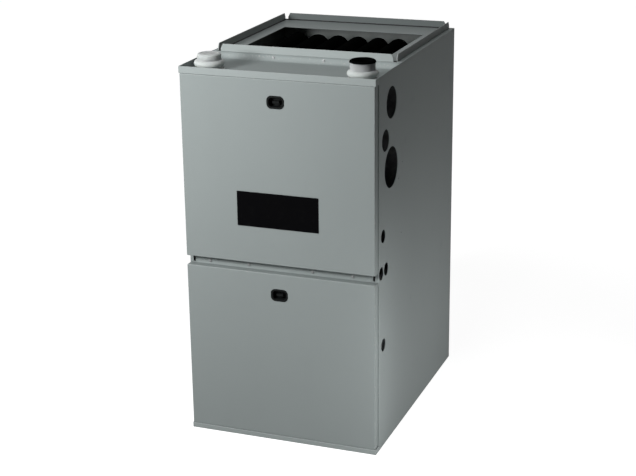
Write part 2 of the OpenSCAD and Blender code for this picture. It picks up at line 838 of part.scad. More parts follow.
vent_route = [[outlet_x1 + slip, ind_mid_y, outlet_z], [vent_x, ind_mid_y, outlet_z],
              [vent_x, collar_y, outlet_z + 90], [vent_x, collar_y, stop_z - slip]];

// Plastic vent pipe from the inducer up into the vent collar
module vent_pipe() {
  n = len(vent_route);
  top = vent_route[n - 1];
  color("black") difference() {
    run(vent_route, pipe_r);
    run(concat([vent_route[0] - [eps, 0, 0]], [vent_route[1]], [vent_route[2]], [top + [0, 0, eps]]),
        pipe_r - pipe_wall);
  }
}

// Rubber sleeve over the joint of the inducer's outlet and the vent pipe
module vent_coupling() {
  color("black") difference() {
    rod_x(outlet_x1 - 8, outlet_x1 + 10, ind_mid_y, outlet_z, pipe_r + 4);
    rod_x(outlet_x1 - 8 - eps, outlet_x1 + 10 + eps, ind_mid_y, outlet_z, pipe_r + slip);
  }
}

// Half bend in the Y-Z plane, opening to the front (side -1) or to the back (side 1)
module half_bend(y, z, side, r) {
  translate([0, y, z]) rotate([90, 0, 90]) rotate([0, 0, side > 0 ? -90 : 90])
    rotate_extrude(angle = 180) translate([bend_r, 0]) circle(r);
}

// Three passes and two bends of one primary tube
module serpentine(r, extra) {
  rod_y(vest_y - extra, rear_bend_y, 0, pass_z, r);
  half_bend(rear_bend_y, pass_z - bend_r, 1, r);
  rod_y(front_bend_y, rear_bend_y, 0, pass2_z, r);
  half_bend(front_bend_y, pass2_z - bend_r, -1, r);
  rod_y(front_bend_y, header_y + 5 + extra, 0, pass3_z, r);
}

module heat_exchanger_tubes() {
  color("dimgray") for (i = [0:tubes - 1]) translate([tube_x(i), 0, 0]) difference() {
    serpentine(tube_r, 0);
    serpentine(tube_r - tube_wall, eps);
  }
}

// Rear box that turns the gases from the primary tubes down into the secondary coil
module rear_header() {
  y1 = header_y + header_d;
  color("dimgray") difference() {
    slab([-header_hw, header_y, header_z0], [header_hw, y1, header_z1]);
    slab([-header_hw + sheet, header_y + sheet, header_z0 + sheet],
         [header_hw - sheet, y1 - sheet, header_z1 - sheet]);
    for (i = [0:tubes - 1])
      rod_y(header_y - eps, header_y + sheet + eps, tube_x(i), pass3_z, tube_r + slip);
    for (i = [0:coil_cols - 1], s = [-1, 1])
      rod_y(header_y - eps, header_y + sheet + eps, coil_x(i), coil_mid + s * coil_row / 2, coil_r + slip);
  }
}

fin_y0 = flange_y + 12;
fins = floor((header_y - fin_y0 - 8) / fin_pitch);

// Fins across the secondary coil
module secondary_fins() {
  color("silver") for (k = [0:fins])
    translate([0, fin_y0 + k * fin_pitch + fin_t, coil_mid]) rotate([90, 0, 0])
      linear_extrude(fin_t) difference() {
        square([2 * header_hw, fin_h], center = true);
        for (i = [0:coil_cols - 1], s = [-1, 1])
          translate([coil_x(i), s * coil_row / 2]) circle(coil_r + slip);
      }
}

module secondary_tubes() {
  color("silver") for (i = [0:coil_cols - 1], s = [-1, 1]) {
    z = coil_mid + s * coil_row / 2;
    difference() {
      rod_y(vest_y - 6, header_y + 6, coil_x(i), z, coil_r);
      rod_y(vest_y - 6 - eps, header_y + 6 + eps, coil_x(i), z, coil_r - coil_wall);
    }
  }
}

// Plastic front box that gathers the flue gas and leads it up to the inducer
module cold_header() {
  neck = 45;
  color("dimgray") difference() {
    union() {
      slab([-header_hw, cold_y, cold_z0], [header_hw, vest_y, cold_z1]);
      slab([inducer_x - neck, cold_y, cold_z1 - eps], [inducer_x + neck, vest_y, ind_z + neck]);
    }
    slab([-header_hw + cold_t, cold_y + cold_t, cold_z0 + cold_t],
         [header_hw - cold_t, vest_y + eps, cold_z1 - cold_t]);
    slab([inducer_x - neck + cold_t, cold_y + cold_t, cold_z1 - cold_t - eps],
         [inducer_x + neck - cold_t, vest_y + eps, ind_z + neck - cold_t]);
    rod_y(cold_y - eps, cold_y + cold_t + eps, inducer_x, ind_z, 34);
    rod_x(-header_hw - eps, -header_hw + cold_t + eps, cold_y + cold_d / 2, cold_z0 + 12, hose_r - 2);
  }
}

// Burner box, open towards the vestibule panel
module burner_box() {
  color("silver") difference() {
    slab([-box_hw, box_y, box_z0], [box_hw, vest_y, box_z1]);
    slab([-box_hw + sheet, box_y + sheet, box_z0 + sheet], [box_hw - sheet, vest_y + eps, box_z1 - sheet]);
    for (i = [0:tubes - 1]) rod_y(box_y - eps, box_y + sheet + eps, tube_x(i), pass_z, spud_r + 2);
    for (x = [-sensor_x, sensor_x]) rod_y(box_y - eps, box_y + sheet + eps, x, pass_z, 3 + slip);
  }
}

// Six burners on a common cross bar that stands on the burner box's floor
module burner_rack() {
  y1 = vest_y - 5;
  x1 = tube_x(tubes - 1) + burner_r;
  color("silver") difference() {
    union() {
      for (i = [0:tubes - 1]) {
        rod_y(y1 - 14, y1, tube_x(i), pass_z, burner_r);
        rod_y(mouth_y, y1 - 14, tube_x(i), pass_z, mouth_r, burner_r);
      }
      slab([-x1, y1 - 12, pass_z - 6], [x1, y1 - 8, pass_z + 6]);
      for (x = [-tube_pitch * 2, tube_pitch * 2])
        slab([x - 8, y1 - 12, box_z0 + sheet], [x + 8, y1 - 8, pass_z]);
    }
    for (i = [0:tubes - 1]) {
      rod_y(y1 - 14, y1 + eps, tube_x(i), pass_z, burner_r - 1.5);
      rod_y(mouth_y - eps, y1 - 14 + 0.01, tube_x(i), pass_z, mouth_r - 1.5, burner_r - 1.5);
    }
  }
}

// Manifold pipe with its drop to the valve, six orifices and two straps to the burner box
module gas_manifold() {
  x1 = tube_x(tubes - 1) + 18;
  color("dimgray") {
    bar([valve_x, manifold_y, valve_top], [valve_x, manifold_y, pass_z], gas_r);
    rod_x(valve_x, x1, manifold_y, pass_z, gas_r);
    translate([valve_x, manifold_y, pass_z]) sphere(r = gas_r + 2);
    rod_x(x1 - 8, x1 + 4, manifold_y, pass_z, gas_r + 2);
    for (i = [0:tubes - 1]) rod_y(manifold_y, mouth_y - 8, tube_x(i), pass_z, spud_r);
    for (i = [1, tubes - 2])
      slab([tube_x(i) + 18, manifold_y, pass_z - 3], [tube_x(i) + 32, box_y, pass_z + 3]);
  }
}

// Gas valve with a threaded inlet at the left and its knob's bore in front
module gas_valve() {
  x0 = valve_x - valve_w / 2 + 6;
  color("lightgray") difference() {
    union() {
      slab([x0, valve_front, valve_z - valve_h / 2], [x0 + valve_w, valve_y + valve_d / 2, valve_top - 5]);
      rod_z(valve_top - 6, valve_top, valve_x, manifold_y, gas_r + 5);
      rod_x(x0 - 12, x0 + eps, gas_y, hole_b_z, inlet_r + 6);
    }
    rod_x(x0 - 12 - eps, x0 - 12 + inlet_depth, gas_y, hole_b_z, inlet_r);
    rod_y(valve_front - eps, valve_front + 10, gas_knob_x, gas_knob_z, 4 + run_clear);
  }
}

module gas_valve_knob() {
  color("red") difference() {
    union() {
      rod_y(valve_front - 8, valve_front - loose, gas_knob_x, gas_knob_z, gas_knob_r);
      rod_y(valve_front - 1, valve_front + 8, gas_knob_x, gas_knob_z, 4);
      slab([gas_knob_x - gas_knob_r + 2, valve_front - 13, gas_knob_z - 2.5],
           [gas_knob_x + gas_knob_r - 2, valve_front - 7, gas_knob_z + 2.5]);
    }
  }
}

// A rod through the burner box's front, on a small mounting plate
module box_probe(x, plate_t) {
  rod_y(box_y - 16, vest_y - 26, x, pass_z, 3);
  rod_y(box_y - 14, box_y - plate_t, x, pass_z, 6);
  slab([x - 6.5, box_y - plate_t, pass_z - 14], [x + 6.5, box_y, pass_z + 8]);
}

// Igniter at the left end of the burner box and flame sensor at the right end
module igniter_and_flame_sensor() {
  color("white") {
    box_probe(-sensor_x, 2);
    box_probe(sensor_x, 1.5);
  }
}

module rollout_switch() {
  color("tan") difference() {
    union() {
      slab([rollout_x - 16, box_y - 1, rollout_z - 9], [rollout_x + 16, box_y, rollout_z + 9]);
      rod_y(box_y - 10, box_y - 0.5, rollout_x, rollout_z, 8);
    }
    rod_y(box_y - 10 - eps, box_y - 3, rollout_x, rollout_z, 2.5 + run_clear);
  }
}

module rollout_reset_button() {
  color("red") rod_y(box_y - 14, box_y - 6, rollout_x, rollout_z, 2.5);
}

// Inducer scroll with its outlet to the right, an inlet at the back and a shaft hole in front
module inducer_housing() {
  color("dimgray") difference() {
    union() {
      rod_y(ind_y1, ind_y0, inducer_x, ind_z, inducer_r);
      rod_x(inducer_x, outlet_x1, ind_mid_y, outlet_z, pipe_r);
      slab([inducer_x, ind_mid_y - pipe_r + 4, ind_z],
           [inducer_x + inducer_r - 4, ind_mid_y + pipe_r - 4, outlet_z]);
    }
    rod_y(ind_y1 + ind_t, ind_y0 - ind_t, inducer_x, ind_z, inducer_r - ind_t);
    rod_x(inducer_x, outlet_x1 + eps, ind_mid_y, outlet_z, pipe_r - pipe_wall);
    rod_y(ind_y0 - ind_t - eps, ind_y0 + eps, inducer_x, ind_z, 34);
    rod_y(ind_y1 - eps, ind_y1 + ind_t + eps, inducer_x, ind_z, 8);
  }
}

// Inducer motor on three legs, with a bearing bore for the wheel's shaft
module inducer_motor() {
  y1 = ind_y1 - motor_gap;
  color("black") difference() {
    union() {
      rod_y(y1 - inducer_motor_l, y1, inducer_x, ind_z, inducer_motor_r);
      for (a = [30, 150, 270]) rod_y(y1 - 20, ind_y1, inducer_x + (inducer_motor_r + 2) * cos(a),
                                     ind_z + (inducer_motor_r + 2) * sin(a), 4);
    }
    rod_y(y1 - inducer_motor_l / 2, y1 + eps, inducer_x, ind_z, 4 + run_clear);
  }
}

// Inducer wheel with blades, hub and shaft
module inducer_wheel() {
  y0 = ind_y1 + ind_t + 6;
  h = inducer_d - 2 * ind_t - 14;
  color("dimgray") {
    rod_y(y0, y0 + 2, inducer_x, ind_z, inducer_wheel_r);
    for (k = [0:11]) translate([inducer_x, y0 + 1, ind_z]) rotate([0, 30 * k, 0])
      slab([36, 0, -1], [inducer_wheel_r - 1, h, 1]);
    rod_y(y0 - 3, y0 + 16, inducer_x, ind_z, 12);
    rod_y(ind_y1 - motor_gap - inducer_motor_l / 2 + 3, y0, inducer_x, ind_z, 4);
  }
}

// Two pressure switches on a bracket on the vestibule panel
module pressure_switches() {
  plate_hw = pressure_plate_w / 2;
  color("silver") for (z = switch_z) {
    slab([switch_x - plate_hw, vest_y - 3, z - plate_hw], [switch_x + plate_hw, vest_y, z + plate_hw]);
    rod_y(vest_y - 12, vest_y - 2, switch_x, z, pressure_r);
    rod_y(vest_y - 26, vest_y - 12.01, switch_x, z, pressure_r - 10);
    rod_y(vest_y - pressure_d, vest_y - 26.01, switch_x, z, 3.5);
  }
}

pressure_hose_r = 3.5;

// Hoses from the switches to the cold header and the inducer housing
module pressure_hoses() {
  y0 = vest_y - pressure_d;
  y1 = y0 - hose_reach;
  upper_end = [inducer_x - inducer_r - slip, ind_mid_y, ind_z];
  hose([[switch_x, y0, switch_z[1]], [switch_x, y1, switch_z[1]],
        [upper_end.x - 24, upper_end.y - 24, ind_z], [upper_end.x - 20, upper_end.y, ind_z],
        upper_end], pressure_hose_r, [0, 0, 1]);
  hose([[switch_x, y0, switch_z[0]], [switch_x, y1, switch_z[0]],
        [switch_x, y1 + 8, cold_z1 + 30], [switch_x, vest_y - cold_d / 2, cold_z1 + 30],
        [switch_x, vest_y - cold_d / 2, cold_z1]], pressure_hose_r, [1, 0, 0]);
}

// Condensate trap with a socket for the drain pipe at the left
module condensate_trap() {
  x1 = trap_x0 + trap_w;
  color("white") difference() {
    union() {
      slab([trap_x0 + 8, trap_y - trap_d / 2, deck_z], [x1, trap_y + trap_d / 2, deck_z + trap_h]);
      rod_x(trap_x0, trap_x0 + 9, trap_y, hole_ef_z, drain_r + 3.5);
      rod_z(deck_z + trap_h - eps, deck_z + trap_h + 10, trap_x0 + trap_w / 2 + 4, trap_y, hose_r);
    }
    rod_x(trap_x0 - eps, trap_x0 + drain_depth, trap_y, hole_ef_z, drain_r);
  }
}

// Hose from the cold header to the trap
module drain_hose() {
  a = [-header_hw, cold_y + cold_d / 2, cold_z0 + 12];
  b = [trap_x0 + trap_w / 2 + 4, trap_y, deck_z + trap_h + 10];
  top = b.z + hose_rise;
  hose([a, [b.x, a.y, a.z], [b.x, a.y, top], [b.x, b.y, top], b], hose_r, [1, 1, 1]);
}

// Rubber hoses of the pressure switches and of the drain
module hoses() {
  color("black") {
    pressure_hoses();
    drain_hose();
  }
}

// Points of the blower scroll, drawn in by the given amount; its cut-off edge is square
function scroll(inset) = concat(
  [for (i = [0:scroll_steps]) let(a = cut_angle - scroll_sweep * i / scroll_steps,
     r = scroll_in + (scroll_out - scroll_in) * i / scroll_steps - inset)
     [wheel_y + r * cos(a), wheel_z + r * sin(a)]],
  let(top = deck_under + (inset > 0 ? eps : 0)) [[outlet_y0 + inset, top], [outlet_y1 - inset, top]],
  inset > 0 ? [[wheel_y + scroll_in * cos(cut_angle) - inset, wheel_z + scroll_in * sin(cut_angle) - inset]]
            : []);

// Scroll wrap of the blower housing, open at the top
module blower_housing() {
  x1 = housing_hw - housing_t;
  color("silver") difference() {
    side_outline(-x1, x1, scroll(0));
    side_outline(-x1 - eps, x1 + eps, scroll(housing_t));
  }
}

// Sides of the blower housing, each with a ringed air inlet and a lip that hangs in a rail
module blower_housing_sides() {
  lip_z = deck_under - rail_drop + sheet;
  color("silver") for (s = [0, 1]) mirror([s, 0, 0]) difference() {
    union() {
      side_outline(housing_hw - housing_t, housing_hw, scroll(0));
      slab([housing_hw - 0.5, outlet_y0, lip_z], [housing_hw + lip_w, outlet_y1, lip_z + sheet]);
      rod_x(housing_hw - 0.5, housing_hw + inlet_ring_d, wheel_y, wheel_z, inlet_air_r + 4);
    }
    rod_x(housing_hw - housing_t - eps, housing_hw + inlet_ring_d + eps, wheel_y, wheel_z, inlet_air_r);
  }
}

hub_r = 20;
web_x = 12;
web_t = 3;
end_ring_w = 10;
end_ring_depth = 8;
hub_fit = 0.02;  // radial fit of the hub on its shaft

// Hub and web of the blower wheel
module blower_wheel() {
  color("dimgray") difference() {
    union() {
      rod_x(web_x, web_x + web_t, wheel_y, wheel_z, wheel_r - 6);
      rod_x(web_x - 14, web_x + 20, wheel_y, wheel_z, hub_r);
    }
    rod_x(web_x - 15, web_x + 21, wheel_y, wheel_z, shaft_r + hub_fit);
  }
}

// End rings of the blower wheel
module blower_wheel_rings() {
  color("dimgray") for (x = [-wheel_w / 2, wheel_w / 2 - end_ring_w]) difference() {
    rod_x(x, x + end_ring_w, wheel_y, wheel_z, wheel_r);
    rod_x(x - eps, x + end_ring_w + eps, wheel_y, wheel_z, wheel_r - end_ring_depth);
  }
}

// Forward-curved blades, from the web to the end ring on each side
module blower_blades() {
  reach = wheel_w / 2 - end_ring_w;
  color("dimgray") for (k = [0:blades - 1], x = [[-reach, web_x], [web_x + web_t, reach]])
    translate([0, wheel_y, wheel_z]) rotate([360 / blades * k, 0, 0])
      translate([0, 0, wheel_r - blade_depth]) rotate([25, 0, 0])
        slab([x[0], -0.7, 0], [x[1], 0.7, blade_depth - 2]);
}

motor_x0 = -housing_hw - 22;
motor_x1 = motor_x0 + motor_l;

module blower_shaft() {
  color("silver") rod_x(motor_x0 + 20, web_x + 24, wheel_y, wheel_z, shaft_r);
}

// Blower motor with a bearing bore
module blower_motor() {
  color("black") difference() {
    union() {
      rod_x(motor_x0, motor_x1, wheel_y, wheel_z, motor_r);
      rod_x(motor_x1 - eps, motor_x1 + 6, wheel_y, wheel_z, 24);
    }
    rod_x(motor_x0 + 15, motor_x1 + 7, wheel_y, wheel_z, shaft_r + run_clear);
  }
}

// Belly band around the motor, with three arms on the housing's side
module motor_band() {
  x1 = -housing_hw - inlet_ring_d;
  difference() {
    union() {
      rod_x(x1 - motor_band_w, x1, wheel_y, wheel_z, motor_r + 3);
      for (a = [90, 210, 330]) translate([0, wheel_y, wheel_z]) rotate([a - 90, 0, 0])
        slab([x1 - 3, -10, motor_r + 1], [x1, 10, inlet_air_r + 3]);
    }
    rod_x(x1 - motor_band_w - eps, x1 + eps, wheel_y, wheel_z, motor_r + slip);
  }
}

// Two rails under the deck that carry the housing's lips
module housing_rails() {
  z0 = deck_under - rail_drop;
  x0 = housing_hw + 4;
  x1 = housing_hw + rail_leg;
  for (s = [0, 1]) mirror([s, 0, 0]) {
    slab([x0, outlet_y0 - 20, z0], [x1, rear_in - 60, z0 + sheet]);
    slab([x1 - sheet, outlet_y0 - 20, z0], [x1, rear_in - 60, deck_under]);
    slab([x1 - sheet, outlet_y0 - 20, deck_under - sheet], [x1 + 14, rear_in - 60, deck_under]);
  }
}

// What holds the blower: the motor's band and the housing's rails
module blower_mounts() {
  color("silver") {
    motor_band();
    housing_rails();
  }
}

// Bracket that hangs from the deck and carries the board and the transformer
module control_bracket() {
  color("silver") {
    slab([-bracket_w / 2, bracket_y, deck_under - bracket_h],
         [bracket_w / 2, bracket_y + sheet, deck_under]);
    slab([-bracket_w / 2, bracket_y, deck_under - sheet],
         [bracket_w / 2, bracket_y + bracket_foot, deck_under]);
  }
}

// Control board with standoffs, relays, connectors and a capacitor
module control_board() {
  y1 = bracket_y - standoff;
  y0 = y1 - board_t;
  x1 = board_x0 + board_w;
  z1 = board_z0 + board_h;
  color("green") {
    slab([board_x0, y0, board_z0], [x1, y1, z1]);
    for (x = [board_x0 + 8, x1 - 8], z = [board_z0 + 8, z1 - 8]) rod_y(y1 - 0.5, bracket_y, x, z, 3);
    for (x = [board_x0 + 14 : 34 : board_x0 + 82])
      slab([x, y0 - 16, board_z0 + 18], [x + 26, y0 + 0.5, board_z0 + 36]);
    slab([board_x0 + 14, y0 - 11, z1 - 24], [board_x0 + 70, y0 + 0.5, z1 - 12]);
    slab([board_x0 + 82, y0 - 8, z1 - 22], [x1 - 14, y0 + 0.5, z1 - 14]);
    rod_y(y0 - 20, y0 + 0.5, x1 - 26, board_z0 + board_h / 2, 9);
    slab([board_x0 + 24, y0 - 4, board_z0 + 52], [board_x0 + 52, y0 + 0.5, board_z0 + 66]);
  }
}

// Step-down transformer on the bracket
module transformer() {
  x0 = bracket_w / 2 - 74;
  z0 = board_z0 + 10;
  color("dimgray") {
    slab([x0, bracket_y - 2, z0 - 6], [x0 + 64, bracket_y, z0 + 62]);
    slab([x0 + 6, bracket_y - 44, z0 + 6], [x0 + 58, bracket_y - 2, z0 + 50]);
    slab([x0 + 16, bracket_y - 54, z0], [x0 + 48, bracket_y - 1.5, z0 + 56]);
  }
}

// Junction box on the right panel, behind its entry hole
module junction_box() {
  x0 = inner_x - jbox_w;
  y0 = jbox_y - jbox_d / 2 + 6;
  z0 = hole_g_z - jbox_h / 2;
  color("silver") difference() {
    slab([x0, y0, z0], [inner_x, y0 + jbox_d, z0 + jbox_h]);
    slab([x0 + sheet, y0 + sheet, z0 + sheet],
         [inner_x - sheet, y0 + jbox_d - sheet, z0 + jbox_h - sheet]);
    rod_x(inner_x - sheet - eps, inner_x + eps, jbox_y, hole_g_z, knockout_r);
  }
}

// Door switch under the deck, with a bore for its plunger
module door_switch() {
  color("black") difference() {
    union() {
      slab([plunger_x - 14, switch_y, plunger_z - 14], [plunger_x + 14, switch_y + 30, plunger_z + 12]);
      slab([plunger_x - 14, switch_y + 28, plunger_z - 4], [plunger_x + 14, switch_y + 30, deck_under]);
    }
    rod_y(switch_y - eps, switch_y + switch_bore, plunger_x, plunger_z, plunger_r + run_clear);
  }
}

module door_switch_plunger() {
  color("white") rod_y(face_y + sheet + 0.4, switch_y + switch_bore - plunger_travel - 1, plunger_x,
                       plunger_z, plunger_r);
}

// Wires from the junction box and the door switch to the board and the transformer
module wiring_harness() {
  y = bracket_y - 30;
  tx = bracket_w / 2 - 42;
  tz = board_z0 + 10;
  color("black") {
    hose([[inner_x - jbox_w, jbox_y + 10, hole_g_z], [inner_x - jbox_w - 40, jbox_y + 10, hole_g_z],
          [tx, y, hole_g_z - 20], [tx, y, tz]], 3.5, [0, 1, 0.2]);
    hose([[plunger_x - 14, switch_y + 20, plunger_z - 4], [plunger_x - 50, switch_y + 20, plunger_z - 4],
          [board_x0 + 64, y - 40, board_z0 + board_h - 40],
          [board_x0 + 64, bracket_y - standoff - board_t, board_z0 + board_h - 40]], 3, [0, 0, 1]);
  }
}

// Hexagon-headed sheet-metal screws of the mid rail and the vent plate
module screw(x, y, z) {
  rod_y(y - screw_head_h, y, x, z, screw_head_r);
  rod_y(y - 0.5, y + 6, x, z, screw_r);
}

module casing_screws() {
  color("silver") {
    for (x = screw_x) screw(x, side_y, screw_z);
    for (x = plate_screw_x) screw(x, vest_y, vent_z + 8);
  }
}

left_side_panel();
right_side_panel();
back_panel();
base_pan();
bottom_rail();
top_rail();
mid_rail();
vent_plate();
supply_ledge();
plenum_flanges();
vestibule_panel();
blower_deck();
casing_liner();
upper_door();
lower_door();
upper_latch_cup();
upper_latch_knob();
lower_latch_cup();
lower_latch_knob();
badge_plate();
vent_collar();
intake_collar();
intake_plug();
vent_pipe();
vent_coupling();
heat_exchanger_tubes();
rear_header();
secondary_fins();
secondary_tubes();
cold_header();
burner_box();
burner_rack();
gas_manifold();
gas_valve();
gas_valve_knob();
igniter_and_flame_sensor();
inducer_housing();
inducer_motor();
inducer_wheel();
pressure_switches();
condensate_trap();
hoses();
rollout_switch();
rollout_reset_button();
control_bracket();
control_board();
transformer();
junction_box();
door_switch();
door_switch_plunger();
blower_housing();
blower_housing_sides();
blower_wheel();
blower_wheel_rings();
blower_blades();
blower_shaft();
blower_motor();
blower_mounts();
wiring_harness();
casing_screws();
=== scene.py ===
"""Looks of an upflow forced air gas furnace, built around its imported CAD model.

Shapes are worked out in millimetres in the CAD model's own frame: +X to the right seen
from the front, +Y to the back, +Z up.
"""

import logging
import math
from dataclasses import dataclass
from enum import Enum
from functools import cached_property, lru_cache
from typing import Callable, Optional, Sequence, Union

import bmesh
import bpy
from mathutils import Matrix, Vector


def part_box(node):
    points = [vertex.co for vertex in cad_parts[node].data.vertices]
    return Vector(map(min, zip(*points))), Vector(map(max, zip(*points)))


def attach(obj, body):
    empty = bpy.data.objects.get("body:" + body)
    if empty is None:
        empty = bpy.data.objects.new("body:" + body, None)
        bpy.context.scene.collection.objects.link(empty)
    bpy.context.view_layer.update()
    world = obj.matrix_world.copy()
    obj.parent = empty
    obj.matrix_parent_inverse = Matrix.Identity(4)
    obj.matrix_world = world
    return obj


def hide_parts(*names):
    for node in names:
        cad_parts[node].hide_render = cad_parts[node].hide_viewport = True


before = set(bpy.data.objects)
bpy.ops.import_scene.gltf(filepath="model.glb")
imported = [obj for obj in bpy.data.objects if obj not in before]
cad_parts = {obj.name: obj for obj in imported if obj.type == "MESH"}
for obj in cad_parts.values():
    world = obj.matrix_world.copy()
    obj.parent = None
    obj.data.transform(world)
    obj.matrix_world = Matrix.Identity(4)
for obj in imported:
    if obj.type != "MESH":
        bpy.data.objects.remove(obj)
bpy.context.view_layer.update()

LOG = logging.getLogger("furnace")
MM = 1000.0
WHITE = (1.0, 1.0, 1.0)
MERGE = 0.004  # vertices of a CAD mesh that are closer than this are one
FLAT = math.radians(0.4)  # the most that a flat area's facets may turn
CREASE = math.radians(38.0)  # edges sharper than this are shaded sharp
PAST = 5.0  # how far a cutting tool reaches past what it cuts
ROUND = 96  # the number of faces round a large turned or cut circle
SNAP = 0.01  # how far a vertex may be from the place that it is looked for
UPPER_RUN_START = -140.8  # where the heat exchanger tubes' upper run starts, along Y
REAR_BEND = (190.4, 934.0)  # the middle of their rear bends, along Y and Z

Point = Sequence[float]
Colour = tuple[float, float, float]
EdgeTest = Callable[[bmesh.types.BMEdge], bool]


class Axis(Enum):
    """The three axes of the frame."""

    X = 0
    Y = 1
    Z = 2

    @property
    def vector(self) -> Vector:
        """The axis as a unit vector."""
        return Vector(1.0 if i == self.value else 0.0 for i in range(3))


class Side(Enum):
    """Left or right, seen from the front."""

    LEFT = -1
    RIGHT = 1


# --------------------------------------------------------------------------- shading


class Value:
    """A number that varies over a surface, written in Python like a plain number."""

    def __init__(self, recipe: "Recipe", socket: bpy.types.NodeSocket) -> None:
        """Wraps one socket of a recipe.

        Args:
            recipe: The recipe that new Math nodes are added to.
            socket: The output socket that holds the number.
        """
        self.recipe = recipe
        self.socket = socket

    def _math(self, operation: str, first: "Number", second: "Number") -> "Value":
        """Adds one Math node.

        Args:
            operation: The node's operation.
            first: The first operand.
            second: The second operand.

        Returns:
            The node's result.
        """
        made = self.recipe.node("ShaderNodeMath", {"operation": operation}, {0: first, 1: second})
        return Value(self.recipe, made.outputs[0])

    def __add__(self, other: "Number") -> "Value":
        """The sum."""
        return self._math("ADD", self, other)

    def __sub__(self, other: "Number") -> "Value":
        """The difference."""
        return self._math("SUBTRACT", self, other)

    def __rsub__(self, other: "Number") -> "Value":
        """The difference, with this value taken away."""
        return self._math("SUBTRACT", other, self)

    def __mul__(self, other: "Number") -> "Value":
        """The product."""
        return self._math("MULTIPLY", self, other)

    def __truediv__(self, other: "Number") -> "Value":
        """The quotient."""
        return self._math("DIVIDE", self, other)

    __radd__ = __add__
    __rmul__ = __mul__

    def above(self, start: float, full: float) -> "Value":
        """A soft step.

        Args:
            start: Where the step begins.
            full: Where the step reaches 1.

        Returns:
            0 below start, 1 above full and a smooth rise between them.
        """
        made = self.recipe.node(
            "ShaderNodeMapRange",
            {"interpolation_type": "SMOOTHSTEP"},
            {"Value": self, "From Min": start, "From Max": full, "To Min": 0.0, "To Max": 1.0},
        )
        return Value(self.recipe, made.outputs["Result"])


Number = Union[float, Value]
Link = Union[float, Value, bpy.types.NodeSocket, Sequence[float]]


def opaque(colour: Link) -> Link:
    """A fixed colour with its alpha added, and anything else as it is."""
    return (*colour, 1.0) if isinstance(colour, tuple) else colour


class Recipe:
    """The node tree of a material or of the surround."""

    def __init__(self, owner: Union[bpy.types.Material, bpy.types.World]) -> None:
        """Starts with an empty node tree.

        Args:
            owner: The material or the world that the nodes belong to.
        """
        owner.use_nodes = True
        self.owner = owner
        self.tree = owner.node_tree
        self.tree.nodes.clear()

    @classmethod
    def named(cls, name: str) -> "Recipe":
        """Starts the recipe of a new material."""
        return cls(bpy.data.materials.new(name))

    @cached_property
    def place(self) -> bpy.types.NodeSocket:
        """The object coordinates, in metres."""
        return self.node("ShaderNodeTexCoord", {}, {}).outputs["Object"]

    def node(
        self, kind: str, settings: dict[str, object], inputs: dict[Union[int, str], Link]
    ) -> bpy.types.Node:
        """Adds one node.

        Args:
            kind: The node's type.
            settings: Its properties, which are set first.
            inputs: A value or a link for each of its sockets.

        Returns:
            The new node.
        """
        made = self.tree.nodes.new(kind)
        for key, value in settings.items():
            setattr(made, key, value)
        for key, value in inputs.items():
            socket = made.inputs[key]
            if isinstance(value, Value):
                value = value.socket
            if isinstance(value, bpy.types.NodeSocket):
                self.tree.links.new(value, socket)
            else:
                socket.default_value = value
        return made

    def stretched(self, scale: Point) -> bpy.types.NodeSocket:
        """The object coordinates, scaled along each axis."""
        return self.node("ShaderNodeMapping", {}, {"Vector": self.place, "Scale": tuple(scale)}).outputs[0]

    def noise(
        self, per_metre: float, detail: float = 2.0, rough: float = 0.5, stretch: Point = (1, 1, 1)
    ) -> Value:
        """Soft random variation.

        Args:
            per_metre: How many features there are in a metre.
            detail: How many finer layers are added.
            rough: How strong the finer layers are.
            stretch: How the features are squeezed along each axis.

        Returns:
            A value from 0 to 1 about 0.5.
        """
        made = self.node(
            "ShaderNodeTexNoise",
            {},
            {"Vector": self.stretched(stretch), "Scale": per_metre, "Detail": detail, "Roughness": rough},
        )
        return Value(self, made.outputs[0])

    def cells(self, per_metre: float) -> Value:
        """A random value for each crystal-like cell."""
        made = self.node("ShaderNodeTexVoronoi", {}, {"Vector": self.place, "Scale": per_metre})
        split = self.node("ShaderNodeSeparateColor", {}, {0: made.outputs["Color"]})
        return Value(self, split.outputs[0])

    def rim(self) -> Value:
        """1 on the rounded edges of a piece and 0 elsewhere."""
        made = self.node("ShaderNodeAttribute", {"attribute_name": "rim"}, {})
        return Value(self, made.outputs["Fac"])

    def blend(self, share: Value, low: Link, high: Link) -> bpy.types.NodeSocket:
        """Mixes two colours.

        Args:
            share: How much of the second colour there is.
            low: The colour where the share is 0.
            high: The colour where the share is 1.

        Returns:
            The mixed colour.
        """
        made = self.node(
            "ShaderNodeMix",
            {"data_type": "RGBA"},
            {0: share, 6: opaque(low), 7: opaque(high)},
        )
        return made.outputs[2]

    def bump(self, height: Value, depth_mm: float, strength: float = 1.0) -> bpy.types.NodeSocket:
        """A normal from a height.

        Args:
            height: The height, from 0 to 1.
            depth_mm: The real depth between 0 and 1.
            strength: How much of it shows.

        Returns:
            The bumped normal.
        """
        made = self.node(
            "ShaderNodeBump", {}, {"Height": height, "Distance": depth_mm / MM, "Strength": strength}
        )
        return made.outputs[0]

    def surface(self, **sockets: Link) -> bpy.types.Material:
        """Closes the recipe with its shader.

        Args:
            **sockets: The shader's sockets, written with _ for a space.

        Returns:
            The finished material.
        """
        inputs = {key.replace("_", " "): value for key, value in sockets.items()}
        inputs["Base Color"] = opaque(inputs["Base Color"])
        shader = self.node("ShaderNodeBsdfPrincipled", {}, inputs)
        self.node("ShaderNodeOutputMaterial", {}, {0: shader.outputs[0]})
        return self.owner


def toned(colour: Colour, factor: float) -> Colour:
    """A colour made darker or lighter."""
    return tuple(min(1.0, c * factor) for c in colour)


